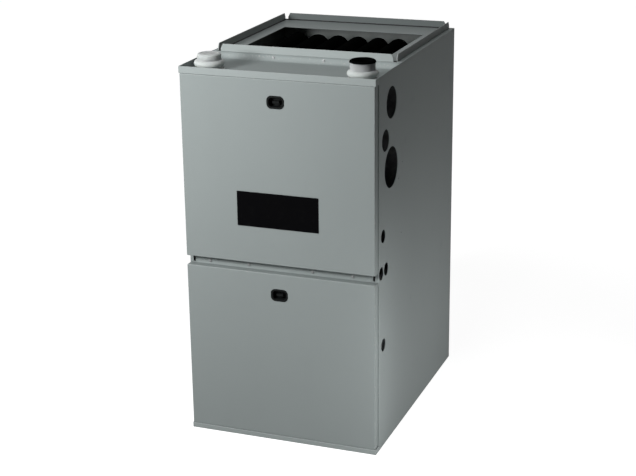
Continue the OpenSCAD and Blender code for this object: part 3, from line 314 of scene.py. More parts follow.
@dataclass(frozen=True)
class PaintedSteel:
    """Baked enamel on cold-rolled sheet, with fine orange peel, edge wear and a painted highlight along its
    rounded edges.
    """

    slot: str = "casing_paint"
    colour: Colour = (0.300, 0.334, 0.331)
    bare: Colour = (0.48, 0.48, 0.47)
    roughness: float = 0.5
    specular: float = 0.05

    def material(self) -> bpy.types.Material:
        """Builds the material."""
        r = Recipe.named(self.slot)
        broad = r.noise(2.6, 3.0, 0.55)
        rolled = r.noise(9.0, 2.0, 0.5, (1.0, 1.0, 0.12))
        peel = r.noise(620.0, 2.0, 0.6)
        smudge = r.noise(17.0, 5.0, 0.62).above(0.60, 0.74)
        chips = r.rim() * r.noise(210.0, 4.0, 0.6).above(0.60, 0.66)
        tint = r.blend(broad * 0.65 + rolled * 0.35, toned(self.colour, 0.955), toned(self.colour, 1.045))
        tint = r.blend(smudge * 0.10, tint, toned(self.colour, 0.80))
        # painted highlight: the rounded edges are made lighter
        tint = r.blend(r.rim() * 0.22, tint, toned(self.colour, 1.35))
        tint = r.blend(chips * 0.75, tint, self.bare)
        return r.surface(
            Base_Color=tint,
            Roughness=self.roughness + broad * 0.05 + smudge * 0.08 - chips * 0.15,
            Normal=r.bump(peel, 0.035, 0.5),
            Specular_IOR_Level=self.specular,
        )


@dataclass(frozen=True)
class Galvanised:
    """Zinc-coated sheet with its crystal spangle."""

    slot: str = "galvanised"
    colour: Colour = (0.50, 0.51, 0.52)
    spangle_per_metre: float = 85.0

    def material(self) -> bpy.types.Material:
        """Builds the material."""
        r = Recipe.named(self.slot)
        cell = r.cells(self.spangle_per_metre)
        fine = r.cells(self.spangle_per_metre * 2.7)
        broad = r.noise(6.0, 3.0)
        dust = r.noise(24.0, 4.0, 0.6).above(0.56, 0.78)
        tint = r.blend(cell * 0.7 + fine * 0.3, toned(self.colour, 0.80), toned(self.colour, 1.2))
        tint = r.blend(dust * 0.35, tint, (0.33, 0.32, 0.30))
        return r.surface(
            Base_Color=tint,
            Metallic=0.85 - dust * 0.25,
            Roughness=0.36 + cell * 0.14 + broad * 0.08,
            Normal=r.bump(cell, 0.02, 0.4),
        )


@dataclass(frozen=True)
class SheetMetal:
    """Bare or plated metal with a brushed or cast grain."""

    slot: str
    colour: Colour
    roughness: float = 0.35
    metallic: float = 1.0
    grain_per_metre: float = 300.0
    grain_depth: float = 0.03
    stretch: tuple[float, float, float] = (1.0, 1.0, 1.0)
    stain: Colour = (0.20, 0.18, 0.15)
    stain_share: float = 0.25

    def material(self) -> bpy.types.Material:
        """Builds the material."""
        r = Recipe.named(self.slot)
        grain = r.noise(self.grain_per_metre, 3.0, 0.6, self.stretch)
        broad = r.noise(11.0, 4.0, 0.6)
        stain = broad.above(0.52, 0.72) * self.stain_share
        tint = r.blend(grain, toned(self.colour, 0.86), toned(self.colour, 1.12))
        tint = r.blend(stain, tint, self.stain)
        # painted highlight: the rounded edges are made lighter
        tint = r.blend(r.rim() * 0.35, tint, toned(self.colour, 1.5))
        return r.surface(
            Base_Color=tint,
            Metallic=self.metallic,
            Roughness=self.roughness + grain * 0.10 + stain * 0.5,
            Normal=r.bump(grain, self.grain_depth, 0.6),
        )


@dataclass(frozen=True)
class HeatedSteel:
    """Black oxide skin of a heat exchanger, with faint brown heat marks; its near-black tone is partly
    painted shade deep in the cabinet.
    """

    slot: str = "black_oxide"
    # near black: partly the oxide's own dark tone, partly painted shade deep in the cabinet
    colour: Colour = (0.0016, 0.0019, 0.0018)

    def material(self) -> bpy.types.Material:
        """Builds the material."""
        r = Recipe.named(self.slot)
        scale = r.noise(160.0, 4.0, 0.6)
        heat = r.noise(14.0, 3.0, 0.5).above(0.50, 0.75)
        tint = r.blend(scale, toned(self.colour, 0.7), toned(self.colour, 1.7))
        tint = r.blend(heat * 0.15, tint, (0.010, 0.008, 0.007))
        return r.surface(
            Base_Color=tint,
            Roughness=0.55 + scale * 0.16,
            Normal=r.bump(scale, 0.06, 0.5),
            Specular_IOR_Level=0.0,
        )


@dataclass(frozen=True)
class Moulded:
    """Moulded plastic, rubber or fired ceramic with a fine skin."""

    slot: str
    colour: Colour
    roughness: float = 0.4
    grain_per_metre: float = 900.0
    grain_depth: float = 0.02
    specular: float = 0.4
    dusty: float = 0.15
    # how much lighter the rounded edges are made: a painted highlight
    rim_highlight: float = 1.6
    glow_depth: float = 0.0

    def material(self) -> bpy.types.Material:
        """Builds the material."""
        r = Recipe.named(self.slot)
        skin = r.noise(self.grain_per_metre, 2.0, 0.5)
        flow = r.noise(20.0, 3.0, 0.5)
        dust = r.noise(48.0, 5.0, 0.65).above(0.52, 0.80) * self.dusty
        tint = r.blend(flow, toned(self.colour, 0.92), toned(self.colour, 1.06))
        tint = r.blend(dust, tint, (0.36, 0.35, 0.33))
        # painted highlight: the rounded edges are made lighter
        tint = r.blend(r.rim() * 0.30, tint, toned(self.colour, self.rim_highlight))
        return r.surface(
            Base_Color=tint,
            Roughness=self.roughness + skin * 0.08 + dust * 0.6,
            Normal=r.bump(skin, self.grain_depth, 0.5),
            Specular_IOR_Level=self.specular,
            Subsurface_Weight=1.0 if self.glow_depth > 0 else 0.0,
            Subsurface_Radius=(1.0, 1.0, 0.95),
            Subsurface_Scale=self.glow_depth / MM,
        )


@dataclass(frozen=True)
class FoilInsulation:
    """Fibre blanket with a crinkled foil face."""

    slot: str = "insulation"
    # dull grey-green, far darker than bare foil: partly painted shade of the cabinet's inside
    colour: Colour = (0.140, 0.156, 0.151)
    metallic: float = 0.20

    def material(self) -> bpy.types.Material:
        """Builds the material."""
        r = Recipe.named(self.slot)
        crease = r.cells(60.0) * 0.5 + r.noise(90.0, 4.0, 0.6) * 0.5
        return r.surface(
            Base_Color=r.blend(crease, toned(self.colour, 0.85), toned(self.colour, 1.1)),
            Metallic=self.metallic,
            Roughness=0.42 + crease * 0.2,
            Normal=r.bump(crease, 0.4, 0.7),
        )


@dataclass(frozen=True)
class CircuitBoard:
    """Green solder mask over copper tracks."""

    slot: str = "board_green"
    colour: Colour = (0.012, 0.085, 0.035)

    def material(self) -> bpy.types.Material:
        """Builds the material."""
        r = Recipe.named(self.slot)
        tracks = r.noise(130.0, 0.0, 0.0, (1.0, 1.0, 0.18)).above(0.50, 0.53)
        across = r.noise(150.0, 0.0, 0.0, (0.16, 1.0, 1.0)).above(0.55, 0.58)
        copper = tracks * 0.6 + across * 0.4
        return r.surface(
            Base_Color=r.blend(copper, self.colour, toned(self.colour, 2.0)),
            Roughness=0.34 + copper * 0.06,
            Normal=r.bump(copper, 0.035, 0.8),
            Coat_Weight=0.25,
        )


PAINT = PaintedSteel()
# Casing paint made lighter for the rails: a painted highlight.
LIT_RAIL_PAINT = PaintedSteel(colour=(0.350, 0.388, 0.384))
# Casing paint made lighter for the front and side flanges and darker for the back flange: painted light and
# shade.
LIT_FLANGE_FRONT_PAINT = PaintedSteel(colour=(0.400, 0.441, 0.435))
LIT_FLANGE_SIDE_PAINT = PaintedSteel(colour=(0.400, 0.432, 0.426))
SHADED_FLANGE_BACK_PAINT = PaintedSteel(colour=(0.165, 0.186, 0.184))
GALVANISED = Galvanised()
# Zinc coat darkened far below galvanised steel: painted shade for the vestibule panel seen through the side
# holes.
SHADED_ZINC_COAT = Galvanised(colour=(0.13, 0.135, 0.14))
ALUMINISED = SheetMetal("aluminised", (0.56, 0.56, 0.55), 0.40, stain=(0.30, 0.26, 0.20))
SHADED_OXIDE = HeatedSteel()
SHADED_FOIL = FoilInsulation()
BLACK_PLASTIC = Moulded(
    "black_plastic", (0.0095, 0.0110, 0.0108), 0.5, specular=0.05, dusty=0.02, rim_highlight=1.0
)
WHITE_PLASTIC = Moulded(
    "white_plastic", (0.53, 0.56, 0.55), 0.46, specular=0.15, dusty=0.05, rim_highlight=1.0, glow_depth=12.0
)
BADGE_BLACK = Moulded("badge_black", (0.0018, 0.0018, 0.0022), 0.45, 500.0, 0.012, 0.015, 0.006, 4.0)
VENT_BLACK = Moulded("vent_black", (0.0018, 0.0020, 0.0020), 0.60, specular=0.0, dusty=0.01)
RUBBER = Moulded("rubber", (0.014, 0.014, 0.015), 0.62, 420.0, 0.05, 0.25, 0.25, 2.0)
FIN_ALUMINIUM = SheetMetal("fin_aluminium", (0.72, 0.73, 0.74), 0.30, 0.95, stretch=(0.2, 1.0, 1.0))
STAINLESS = SheetMetal("stainless", (0.50, 0.50, 0.49), 0.26, stretch=(1.0, 0.1, 1.0), stain_share=0.1)
HEADER_PLASTIC = Moulded("header_plastic", (0.022, 0.022, 0.024), 0.50, 700.0, 0.03)
GAS_PIPE = SheetMetal("gas_pipe", (0.09, 0.088, 0.085), 0.52, 0.6, 420.0, 0.05)
VALVE_CASTING = SheetMetal("valve_casting", (0.42, 0.42, 0.43), 0.48, 0.9, 520.0, 0.09)
RED_PLASTIC = Moulded("red_plastic", (0.42, 0.018, 0.012), 0.36, rim_highlight=1.3)
CERAMIC = Moulded("ceramic_white", (0.66, 0.64, 0.58), 0.55, 350.0, 0.04, rim_highlight=1.1)
MOTOR_BLACK = SheetMetal("motor_black", (0.024, 0.024, 0.026), 0.42, 0.35, 480.0, 0.05)
TRAP_PLASTIC = Moulded("trap_plastic", (0.035, 0.036, 0.038), 0.44)
BOARD_GREEN = CircuitBoard()
TRANSFORMER = SheetMetal("transformer_steel", (0.20, 0.19, 0.18), 0.45, 0.85, 300.0, 0.05, (1, 1, 9))
ZINC = SheetMetal("zinc", (0.30, 0.31, 0.31), 0.45, 0.9, 600.0, 0.02)

Finish = Union[PaintedSteel, Galvanised, SheetMetal, HeatedSteel, Moulded, FoilInsulation, CircuitBoard]


@lru_cache(maxsize=None)
def material_of(finish: Finish) -> bpy.types.Material:
    """The one material that all pieces with this finish share."""
    return finish.material()


# ---------------------------------------------------------------------------- shapes


def box_mm(node: str) -> tuple[Vector, Vector]:
    """The lowest and highest corner of a CAD node, in millimetres."""
    low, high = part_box(node)
    return low * MM, high * MM


def middle_mm(node: str) -> Vector:
    """The middle of a CAD node, in millimetres."""
    low, high = box_mm(node)
    return (low + high) / 2


def linked(name: str, data: bpy.types.ID) -> bpy.types.Object:
    """A new object of the scene."""
    made = bpy.data.objects.new(name, data)
    bpy.context.scene.collection.objects.link(made)
    return made


def lies_on(axis: Axis, *values: float, tolerance: float = 0.05) -> EdgeTest:
    """A test for edges in one of several planes.

    Args:
        axis: The planes' normal.
        *values: Where the planes cross that axis.
        tolerance: How far an edge may be from its plane.

    Returns:
        The test.
    """

    def test(edge: bmesh.types.BMEdge) -> bool:
        """True if both ends of the edge are in one of the planes."""
        ends = [v.co[axis.value] for v in edge.verts]
        return any(all(abs(end - value) < tolerance for end in ends) for value in values)

    return test


class Form:
    """A mesh in millimetres that is shaped with bmesh operators."""

    def __init__(self) -> None:
        """Starts with an empty mesh."""
        self.bm = bmesh.new()

    @classmethod
    def of_node(cls, node: str) -> "Form":
        """A merged copy of a CAD node's mesh, with its flat areas in whole faces.

        Args:
            node: The CAD node's name.

        Returns:
            The copy.
        """
        form = cls()
        bm = form.bm
        bm.from_mesh(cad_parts[node].data)
        bmesh.ops.scale(bm, vec=(MM, MM, MM), verts=bm.verts)
        bmesh.ops.remove_doubles(bm, verts=bm.verts, dist=MERGE)
        bmesh.ops.dissolve_limit(bm, angle_limit=FLAT, verts=bm.verts, edges=bm.edges)
        return form

    def block(self, low: Point, high: Point) -> "Form":
        """Adds a box between two corners."""
        low, high = Vector(low), Vector(high)
        matrix = Matrix.Translation((low + high) / 2) @ Matrix.Diagonal((*(high - low), 1.0))
        bmesh.ops.create_cube(self.bm, size=1.0, matrix=matrix)
        return self

    def rod(
        self, start: Point, axis: Axis, length: float, radius: float, segments: int = 64, top: float = -1.0
    ) -> "Form":
        """Adds a round, conical or polygonal bar.

        Args:
            start: The middle of its first end.
            axis: The way it runs.
            length: Its length along that axis.
            radius: Its radius at the first end.
            segments: The number of its sides.
            top: Its radius at the other end, or the same if below 0.

        Returns:
            This form.
        """
        middle = Vector(start) + axis.vector * length / 2
        turn = Vector((0, 0, 1)).rotation_difference(axis.vector).to_matrix().to_4x4()
        bmesh.ops.create_cone(
            self.bm, cap_ends=True, segments=segments, radius1=radius,
            radius2=radius if top < 0 else top, depth=length, matrix=Matrix.Translation(middle) @ turn,
        )
        return self

    def rounded_bar(self, low: Point, high: Point, axis: Axis, radius: float, segments: int = 10) -> "Form":
        """Adds a box whose edges along one axis are rounded.

        Args:
            low: Its lowest corner.
            high: Its highest corner.
            axis: The way the rounded edges run.
            radius: The corners' radius.
            segments: The number of faces in each corner.

        Returns:
            This form.
        """

        def along(edge: bmesh.types.BMEdge) -> bool:
            """True if the edge runs along the axis."""
            return abs((edge.verts[0].co - edge.verts[1].co).normalized().dot(axis.vector)) > 0.9

        return self.add(Form().block(low, high).round_edges(radius, segments, along))

    def folded(self, points: Sequence[Point], along: Point) -> "Form":
        """Adds a thin sheet: a line of points, drawn out in one direction.

        Args:
            points: The line, with one point at each bend.
            along: The way and the distance it is drawn out.

        Returns:
            This form.
        """
        verts = [self.bm.verts.new(p) for p in points]
        return self.drawn([self.bm.edges.new(pair) for pair in zip(verts, verts[1:])], along)

    def drawn(self, edges: Sequence[bmesh.types.BMEdge], along: Point) -> "Form":
        """Draws some edges out into faces.

        Args:
            edges: The edges.
            along: The way and the distance they are drawn out.

        Returns:
            This form.
        """
        made = bmesh.ops.extrude_edge_only(self.bm, edges=edges)["geom"]
        moved = [part for part in made if isinstance(part, bmesh.types.BMVert)]
        bmesh.ops.translate(self.bm, vec=along, verts=moved)
        return self

    def turned(self, profile: Sequence[Point], middle: Vector) -> "Form":
        """Adds a body turned about an upright axis.

        Args:
            profile: Its points as (radius, height), all the way round.
            middle: A point on the axis.

        Returns:
            This form.
        """
        made = Form()
        verts = [made.bm.verts.new((middle.x + radius, middle.y, height)) for radius, height in profile]
        edges = [made.bm.edges.new(pair) for pair in zip(verts, verts[1:] + verts[:1])]
        bmesh.ops.spin(
            made.bm, geom=verts + edges, cent=(middle.x, middle.y, 0), axis=Axis.Z.vector, angle=math.tau,
            steps=ROUND, use_merge=True,
        )
        bmesh.ops.remove_doubles(made.bm, verts=made.bm.verts, dist=MERGE / 2)
        bmesh.ops.recalc_face_normals(made.bm, faces=made.bm.faces)
        return self.add(made)

    def add(self, other: "Form") -> "Form":
        """Takes over another form's mesh."""
        mesh = bpy.data.meshes.new("part")
        other.bm.to_mesh(mesh)
        other.bm.free()
        self.bm.from_mesh(mesh)
        bpy.data.meshes.remove(mesh)
        return self

    def kept(self, axis: Axis, low: float, high: float) -> "Form":
        """Drops every vertex outside a slab.

        Args:
            axis: The slab's normal.
            low: Where the slab starts.
            high: Where it ends.

        Returns:
            This form.
        """
        outside = [v for v in self.bm.verts if not low < v.co[axis.value] < high]
        bmesh.ops.delete(self.bm, geom=outside, context="VERTS")
        return self

    def face_towards(self, direction: Point) -> "Form":
        """Turns a thin sheet's faces so that most of its area looks one way."""
        bmesh.ops.recalc_face_normals(self.bm, faces=self.bm.faces)
        total = sum((f.normal * f.calc_area() for f in self.bm.faces), Vector())
        if total.dot(Vector(direction)) < 0:
            bmesh.ops.reverse_faces(self.bm, faces=self.bm.faces)
        return self

    def round_edges(
        self, width: float, segments: int = 2, where: Optional[EdgeTest] = None, sharper: float = 30.0
    ) -> "Form":
        """Rounds edges, and marks the new faces for wear and for the painted edge highlight.

        Args:
            width: How far the rounding reaches into each face.
            segments: The number of faces across it.
            where: A test for the edges to round, or all of them.
            sharper: The least angle of an edge, in degrees.

        Returns:
            This form.
        """
        limit = math.radians(sharper)
        layer = self.bm.faces.layers.float.get("rim") or self.bm.faces.layers.float.new("rim")
        chosen = [
            e for e in self.bm.edges
            if len(e.link_faces) == 2 and e.calc_face_angle(0.0) > limit and (where is None or where(e))
        ]
        made = bmesh.ops.bevel(
            self.bm, geom=chosen, offset=width, offset_type="OFFSET", affect="EDGES", segments=segments,
            profile=0.5, material=-1, clamp_overlap=True, loop_slide=True,
        )
        for face in made["faces"]:
            face[layer] = 1.0
        return self

    def slope_upper_pass(self, rise: float) -> None:
        """Lifts the upper run of the heat exchanger tubes towards its rear bends.

        Args:
            rise: The lift at the bends.
        """
        front, (bend_y, bend_z) = UPPER_RUN_START, REAR_BEND
        for vert in self.bm.verts:
            above = vert.co.z - bend_z
            beyond = vert.co.y - bend_y
            if above > 0:
                along = min(1.0, max(0.0, (vert.co.y - front) / (bend_y - front)))
                round_bend = above / math.hypot(above, beyond) if beyond > 0 else 1.0
                vert.co.z += rise * along * round_bend

    def _modified(self, kind: str, settings: dict[str, object]) -> "Form":
        """Applies one modifier.

        Args:
            kind: The modifier's type.
            settings: Its properties.

        Returns:
            This form.
        """
        mesh = bpy.data.meshes.new("work")
        self.bm.to_mesh(mesh)
        work = linked("work", mesh)
        modifier = work.modifiers.new(kind.lower(), kind)
        for key, value in settings.items():
            setattr(modifier, key, value)
        graph = bpy.context.evaluated_depsgraph_get()
        result = bpy.data.meshes.new_from_object(work.evaluated_get(graph))
        self.bm.clear()
        self.bm.from_mesh(result)
        bpy.data.objects.remove(work)
        bpy.data.meshes.remove(mesh)
        bpy.data.meshes.remove(result)
        return self

    def thicken(self, thickness: float) -> "Form":
        """Gives a thin sheet its wall, on the side away from its normals."""
        return self._modified(
            "SOLIDIFY", {"thickness": thickness, "offset": -1.0, "use_even_offset": True, "use_rim": True}
        )

    def cut(self, tool: "Form") -> "Form":
        """Cuts another form out of this one."""
        mesh = bpy.data.meshes.new("tool")
        bmesh.ops.recalc_face_normals(tool.bm, faces=tool.bm.faces)
        tool.bm.to_mesh(mesh)
        tool.bm.free()
        cutter = linked("tool", mesh)
        self._modified("BOOLEAN", {"object": cutter, "operation": "DIFFERENCE", "solver": "EXACT"})
        bpy.data.objects.remove(cutter)
        bpy.data.meshes.remove(mesh)
        return self

    def mirrored(self) -> "Form":
        """Moves the mesh to the other side of the cabinet."""
        bmesh.ops.scale(self.bm, vec=(-1, 1, 1), verts=self.bm.verts)
        bmesh.ops.reverse_faces(self.bm, faces=self.bm.faces)
        return self

    def piece(self, name: str, body: str, finish: Finish, replaces: Sequence[str] = ()) -> bpy.types.Object:
        """Makes the finished piece.

        Args:
            name: The piece's name.
            body: The CAD body that it rides on.
            finish: What it is made of.
            replaces: The CAD nodes that it stands for.

        Returns:
            The new object, at the origin.
        """
        bmesh.ops.scale(self.bm, vec=(1 / MM,) * 3, verts=self.bm.verts)
        mesh = bpy.data.meshes.new(name)
        self.bm.to_mesh(mesh)
        self.bm.free()
        mesh.polygons.foreach_set("use_smooth", [True] * len(mesh.polygons))
        mesh.set_sharp_from_angle(angle=CREASE)
        made = linked(name, mesh)
        weighted = made.modifiers.new("normals", "WEIGHTED_NORMAL")
        weighted.keep_sharp = True
        mesh.materials.append(material_of(finish))
        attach(made, body)
        if replaces:
            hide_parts(*replaces)
        LOG.info("%s: %d faces on %s", name, len(mesh.polygons), body)
        return made


@dataclass(frozen=True)
class Fitting:
    """A piece that keeps its CAD node's shape, with its edges rounded."""

    node: str
    finish: Finish
    edge: float = 0.4
    steps: int = 2
    body: str = "cabinet"
    ending: str = "dressed"
    rise: float = 0.0

    def build(self) -> None:
        """Builds the piece from a merged copy of its CAD node."""
        form = Form.of_node(self.node)
        if self.rise > 0:
            form.slope_upper_pass(self.rise)
        if self.edge > 0:
            form.round_edges(self.edge, self.steps)
        form.piece(f"{self.node}_{self.ending}", self.body, self.finish, [self.node])


# --------------------------------------------------------------------- sub-assemblies


@dataclass
class CabinetShell:
    """Side panels with their entry holes, back, base pan and the three rails."""

    sheet: float = 1.2
    bend: float = 1.7
    front_return: float = 22.0
    back_return: float = 18.0
    top_fold: float = 14.0
    door_face_y: float = -354.6
    slot_x: float = 10.0
    slot_w: float = 6.0
    slot_end: float = 2.0
    fold_end: float = 2.5
    hole_depth: float = 6.0
    small_hole: float = 5.0
    rib_x: float = 120.0
    rib_w: float = 16.0
    rib_depth: float = 0.6
    rib_end: float = 110.0
    holes_right: tuple[tuple[float, float, float], ...] = (
        (127, 931, 41.5), (78, 843, 28.5), (125, 761, 54), (60, 594, 17.5), (84, 497, 17.5),
        (44, 497, 17.5), (63, 292, 17.5), (219, 750, 2.2), (189, 713, 2.2), (214, 556, 2.2),
    )
    holes_left: tuple[tuple[float, float, float], ...] = (
        (78, 843, 28.5), (84, 497, 17.5), (63, 292, 17.5),
    )

    def build(self) -> None:
        """Builds every piece of the shell."""
        self.side_panel(Side.RIGHT, self.holes_right)
        self.side_panel(Side.LEFT, self.holes_left)
        self.back_panel()
        Fitting("base_pan", PAINT, 1.1, 3, ending="sheet").build()
        self.bottom_rail()
        self.top_rail()
        Fitting("mid_rail", LIT_RAIL_PAINT, 0.5, ending="sheet").build()

    def side_panel(self, side: Side, holes: Sequence[tuple[float, float, float]]) -> None:
        """Builds one side panel, folded at its front, back and top.

        Args:
            side: Which side it is on.
            holes: Its openings as (distance from the doors, height, radius).
        """
        name = f"{side.name.lower()}_side_panel"
        low, high = box_mm(name)
        wide = max(abs(low.x), abs(high.x))
        fold_y = box_mm("supply_ledge")[0].y + self.sheet
        floor_z = box_mm("vent_plate")[0].z
        form = Form().folded(
            [(wide - self.front_return, low.y, low.z), (wide, low.y, low.z), (wide, fold_y, low.z),
             (wide, high.y - self.fold_end, low.z), (wide, high.y, low.z),
             (wide - self.back_return, high.y, low.z)],
            (0, 0, high.z - low.z),
        )
        top = [
            e for e in form.bm.edges
            if all(abs(v.co.z - high.z) < SNAP and v.co.x > wide - SNAP
                   and fold_y - SNAP < v.co.y < high.y - self.fold_end + SNAP for v in e.verts)
        ]
        form.drawn(top, (-self.top_fold, 0, 0))
        form.face_towards((1, 0, 0))
        form.round_edges(self.bend, 4)
        form.thicken(self.sheet)
        form.cut(Form().block((wide - self.front_return - PAST, low.y - PAST, floor_z),
                              (wide - 2 * self.sheet, low.y + PAST, high.z + PAST)))
        tools = Form()
        for reach, height, radius in holes:
            tools.rod((wide - self.hole_depth, self.door_face_y + reach, height), Axis.X,
                      2 * self.hole_depth, radius, ROUND if radius > self.small_hole else 20)
        gap_low, gap_high = box_mm("lower_door")[1].z, box_mm("upper_door")[0].z
        tools.block((wide - self.slot_x - self.slot_w, low.y - PAST, gap_low + self.slot_end),
                    (wide - self.slot_x, low.y + self.sheet + 3, gap_high - self.slot_end))
        form.cut(tools)
        outside = lies_on(Axis.X, wide, tolerance=2 * SNAP)
        form.round_edges(0.25, 1, lambda e: outside(e) and e.calc_length() < 5, 60.0)
        if side is Side.LEFT:
            form.mirrored()
        form.piece(f"{name}_sheet", "cabinet", PAINT, [name])

    def back_panel(self) -> None:
        """Builds the back panel, with shallow stiffening ribs pressed into it."""
        low, high = box_mm("back_panel")
        form = Form().block(low, high)
        ribs = Form()
        for x in (-self.rib_x, self.rib_x):
            ribs.rounded_bar((x - self.rib_w / 2, high.y - self.rib_depth, low.z + self.rib_end),
                             (x + self.rib_w / 2, high.y + PAST, high.z - self.rib_end), Axis.Y,
                             self.rib_w / 2 - 0.5, 8)
        form.cut(ribs)
        form.round_edges(0.3, 2)
        form.piece("back_panel_sheet", "cabinet", PAINT, ["back_panel"])

    def bottom_rail(self) -> None:
        """Builds the closed rail under the lower door."""
        low, high = box_mm("bottom_rail")
        form = Form().block(low, high)
        front = lies_on(Axis.Y, low.y)
        form.round_edges(1.8, 4, front)
        form.round_edges(0.4, 2)
        form.cut(Form().block((low.x + self.sheet, low.y + self.sheet + 1, low.z + self.sheet),
                              (high.x - self.sheet, high.y + 1, high.z - self.sheet)))
        form.piece("bottom_rail_sheet", "cabinet", LIT_RAIL_PAINT, ["bottom_rail"])

    def top_rail(self) -> None:
        """Builds the top rail, with its rolled hem."""
        low, high = box_mm("top_rail")
        form = Form.of_node("top_rail")
        form.round_edges(1.2, 4, lies_on(Axis.Z, high.z))
        form.round_edges(1.2, 4, lies_on(Axis.Y, low.y))
        form.piece("top_rail_sheet", "cabinet", LIT_RAIL_PAINT, ["top_rail"])


@dataclass
class SupplyTop:
    """Vent plate, ledge and flanges round the supply air opening."""

    sheet: float = 1.2
    sweep: float = 13.0
    hem: float = 0.9
    flange: float = 2.4
    shadow_bead_w: float = 3.0
    shadow_bead_h: float = 3.0
    pipe_hole: float = 34.1

    def build(self) -> None:
        """Builds every piece of the top."""
        self.vent_plate()
        Fitting("supply_ledge", PAINT, 0.3, ending="sheet").build()
        self.flanges()
        self.shadow_bead()

    def vent_plate(self) -> None:
        """Builds the recessed plate, which sweeps up into its rear edge."""
        low, high = box_mm("vent_plate")
        top = low.z + self.sheet
        form = Form().folded(
            [(low.x, low.y, top), (low.x, high.y - self.sheet, top), (low.x, high.y - self.sheet, high.z)],
            (high.x - low.x, 0, 0),
        )
        form.face_towards((0, 0, 1))
        form.round_edges(self.sweep, 10)
        form.thicken(self.sheet)
        tools = Form()
        for node in ("vent_collar", "intake_collar"):
            middle = middle_mm(node)
            tools.rod((middle.x, middle.y, low.z - 2 * PAST), Axis.Z, 6 * PAST, self.pipe_hole, ROUND)
        form.cut(tools)
        form.piece("vent_plate_sheet", "cabinet", PAINT, ["vent_plate"])

    def shadow_bead(self) -> None:
        """Builds a dark rubber bead along the flanges' inner feet: a painted shadow line in the crease
        between flange and ledge.
        """
        low, high = box_mm("plenum_flanges")
        foot = box_mm("supply_ledge")[1].z
        side = high.x - self.flange
        front, back = low.y + self.flange, high.y - self.flange
        # painted shadow: a dark bead that stands for the shadow line at the flanges' feet
        form = Form().block((-side, front, foot), (side, back, foot + self.shadow_bead_h))
        form.cut(Form().block((-side + self.shadow_bead_w, front + self.shadow_bead_w, foot - 1),
                              (side - self.shadow_bead_w, back - self.shadow_bead_w, foot + self.shadow_bead_h + 1)))
        form.round_edges(1.2, 3, lies_on(Axis.Z, foot + self.shadow_bead_h))
        form.piece("plenum_flanges_shadow_bead", "cabinet", RUBBER)

    def flanges(self) -> None:
        """Builds the four hemmed flanges, in rows whose paint carries painted light: lighter at the front
        and sides, darker as painted shade at the back.
        """
        low, high = box_mm("plenum_flanges")
        front, back = low.y + self.flange + 0.5, high.y - self.flange - 0.5
        self.flange_row("front", low.y - 1, front, LIT_FLANGE_FRONT_PAINT)
        self.flange_row("back", back, high.y + 1, SHADED_FLANGE_BACK_PAINT)
        self.flange_row("side", front, back, LIT_FLANGE_SIDE_PAINT, ["plenum_flanges"])

    def flange_row(
        self, name: str, front: float, back: float, finish: Finish, replaces: Sequence[str] = ()
    ) -> None:
        """Builds the flanges in one row of the cabinet's depth.

        Args:
            name: The row's name.
            front: Where the row starts.
            back: Where it ends.
            finish: The flanges' paint, whose tone carries the row's painted light and shade.
            replaces: The CAD nodes that the row stands for.
        """
        form = Form.of_node("plenum_flanges").kept(Axis.Y, front, back)
        form.round_edges(self.hem, 3)
        form.piece(f"plenum_flange_{name}", "cabinet", finish, replaces)


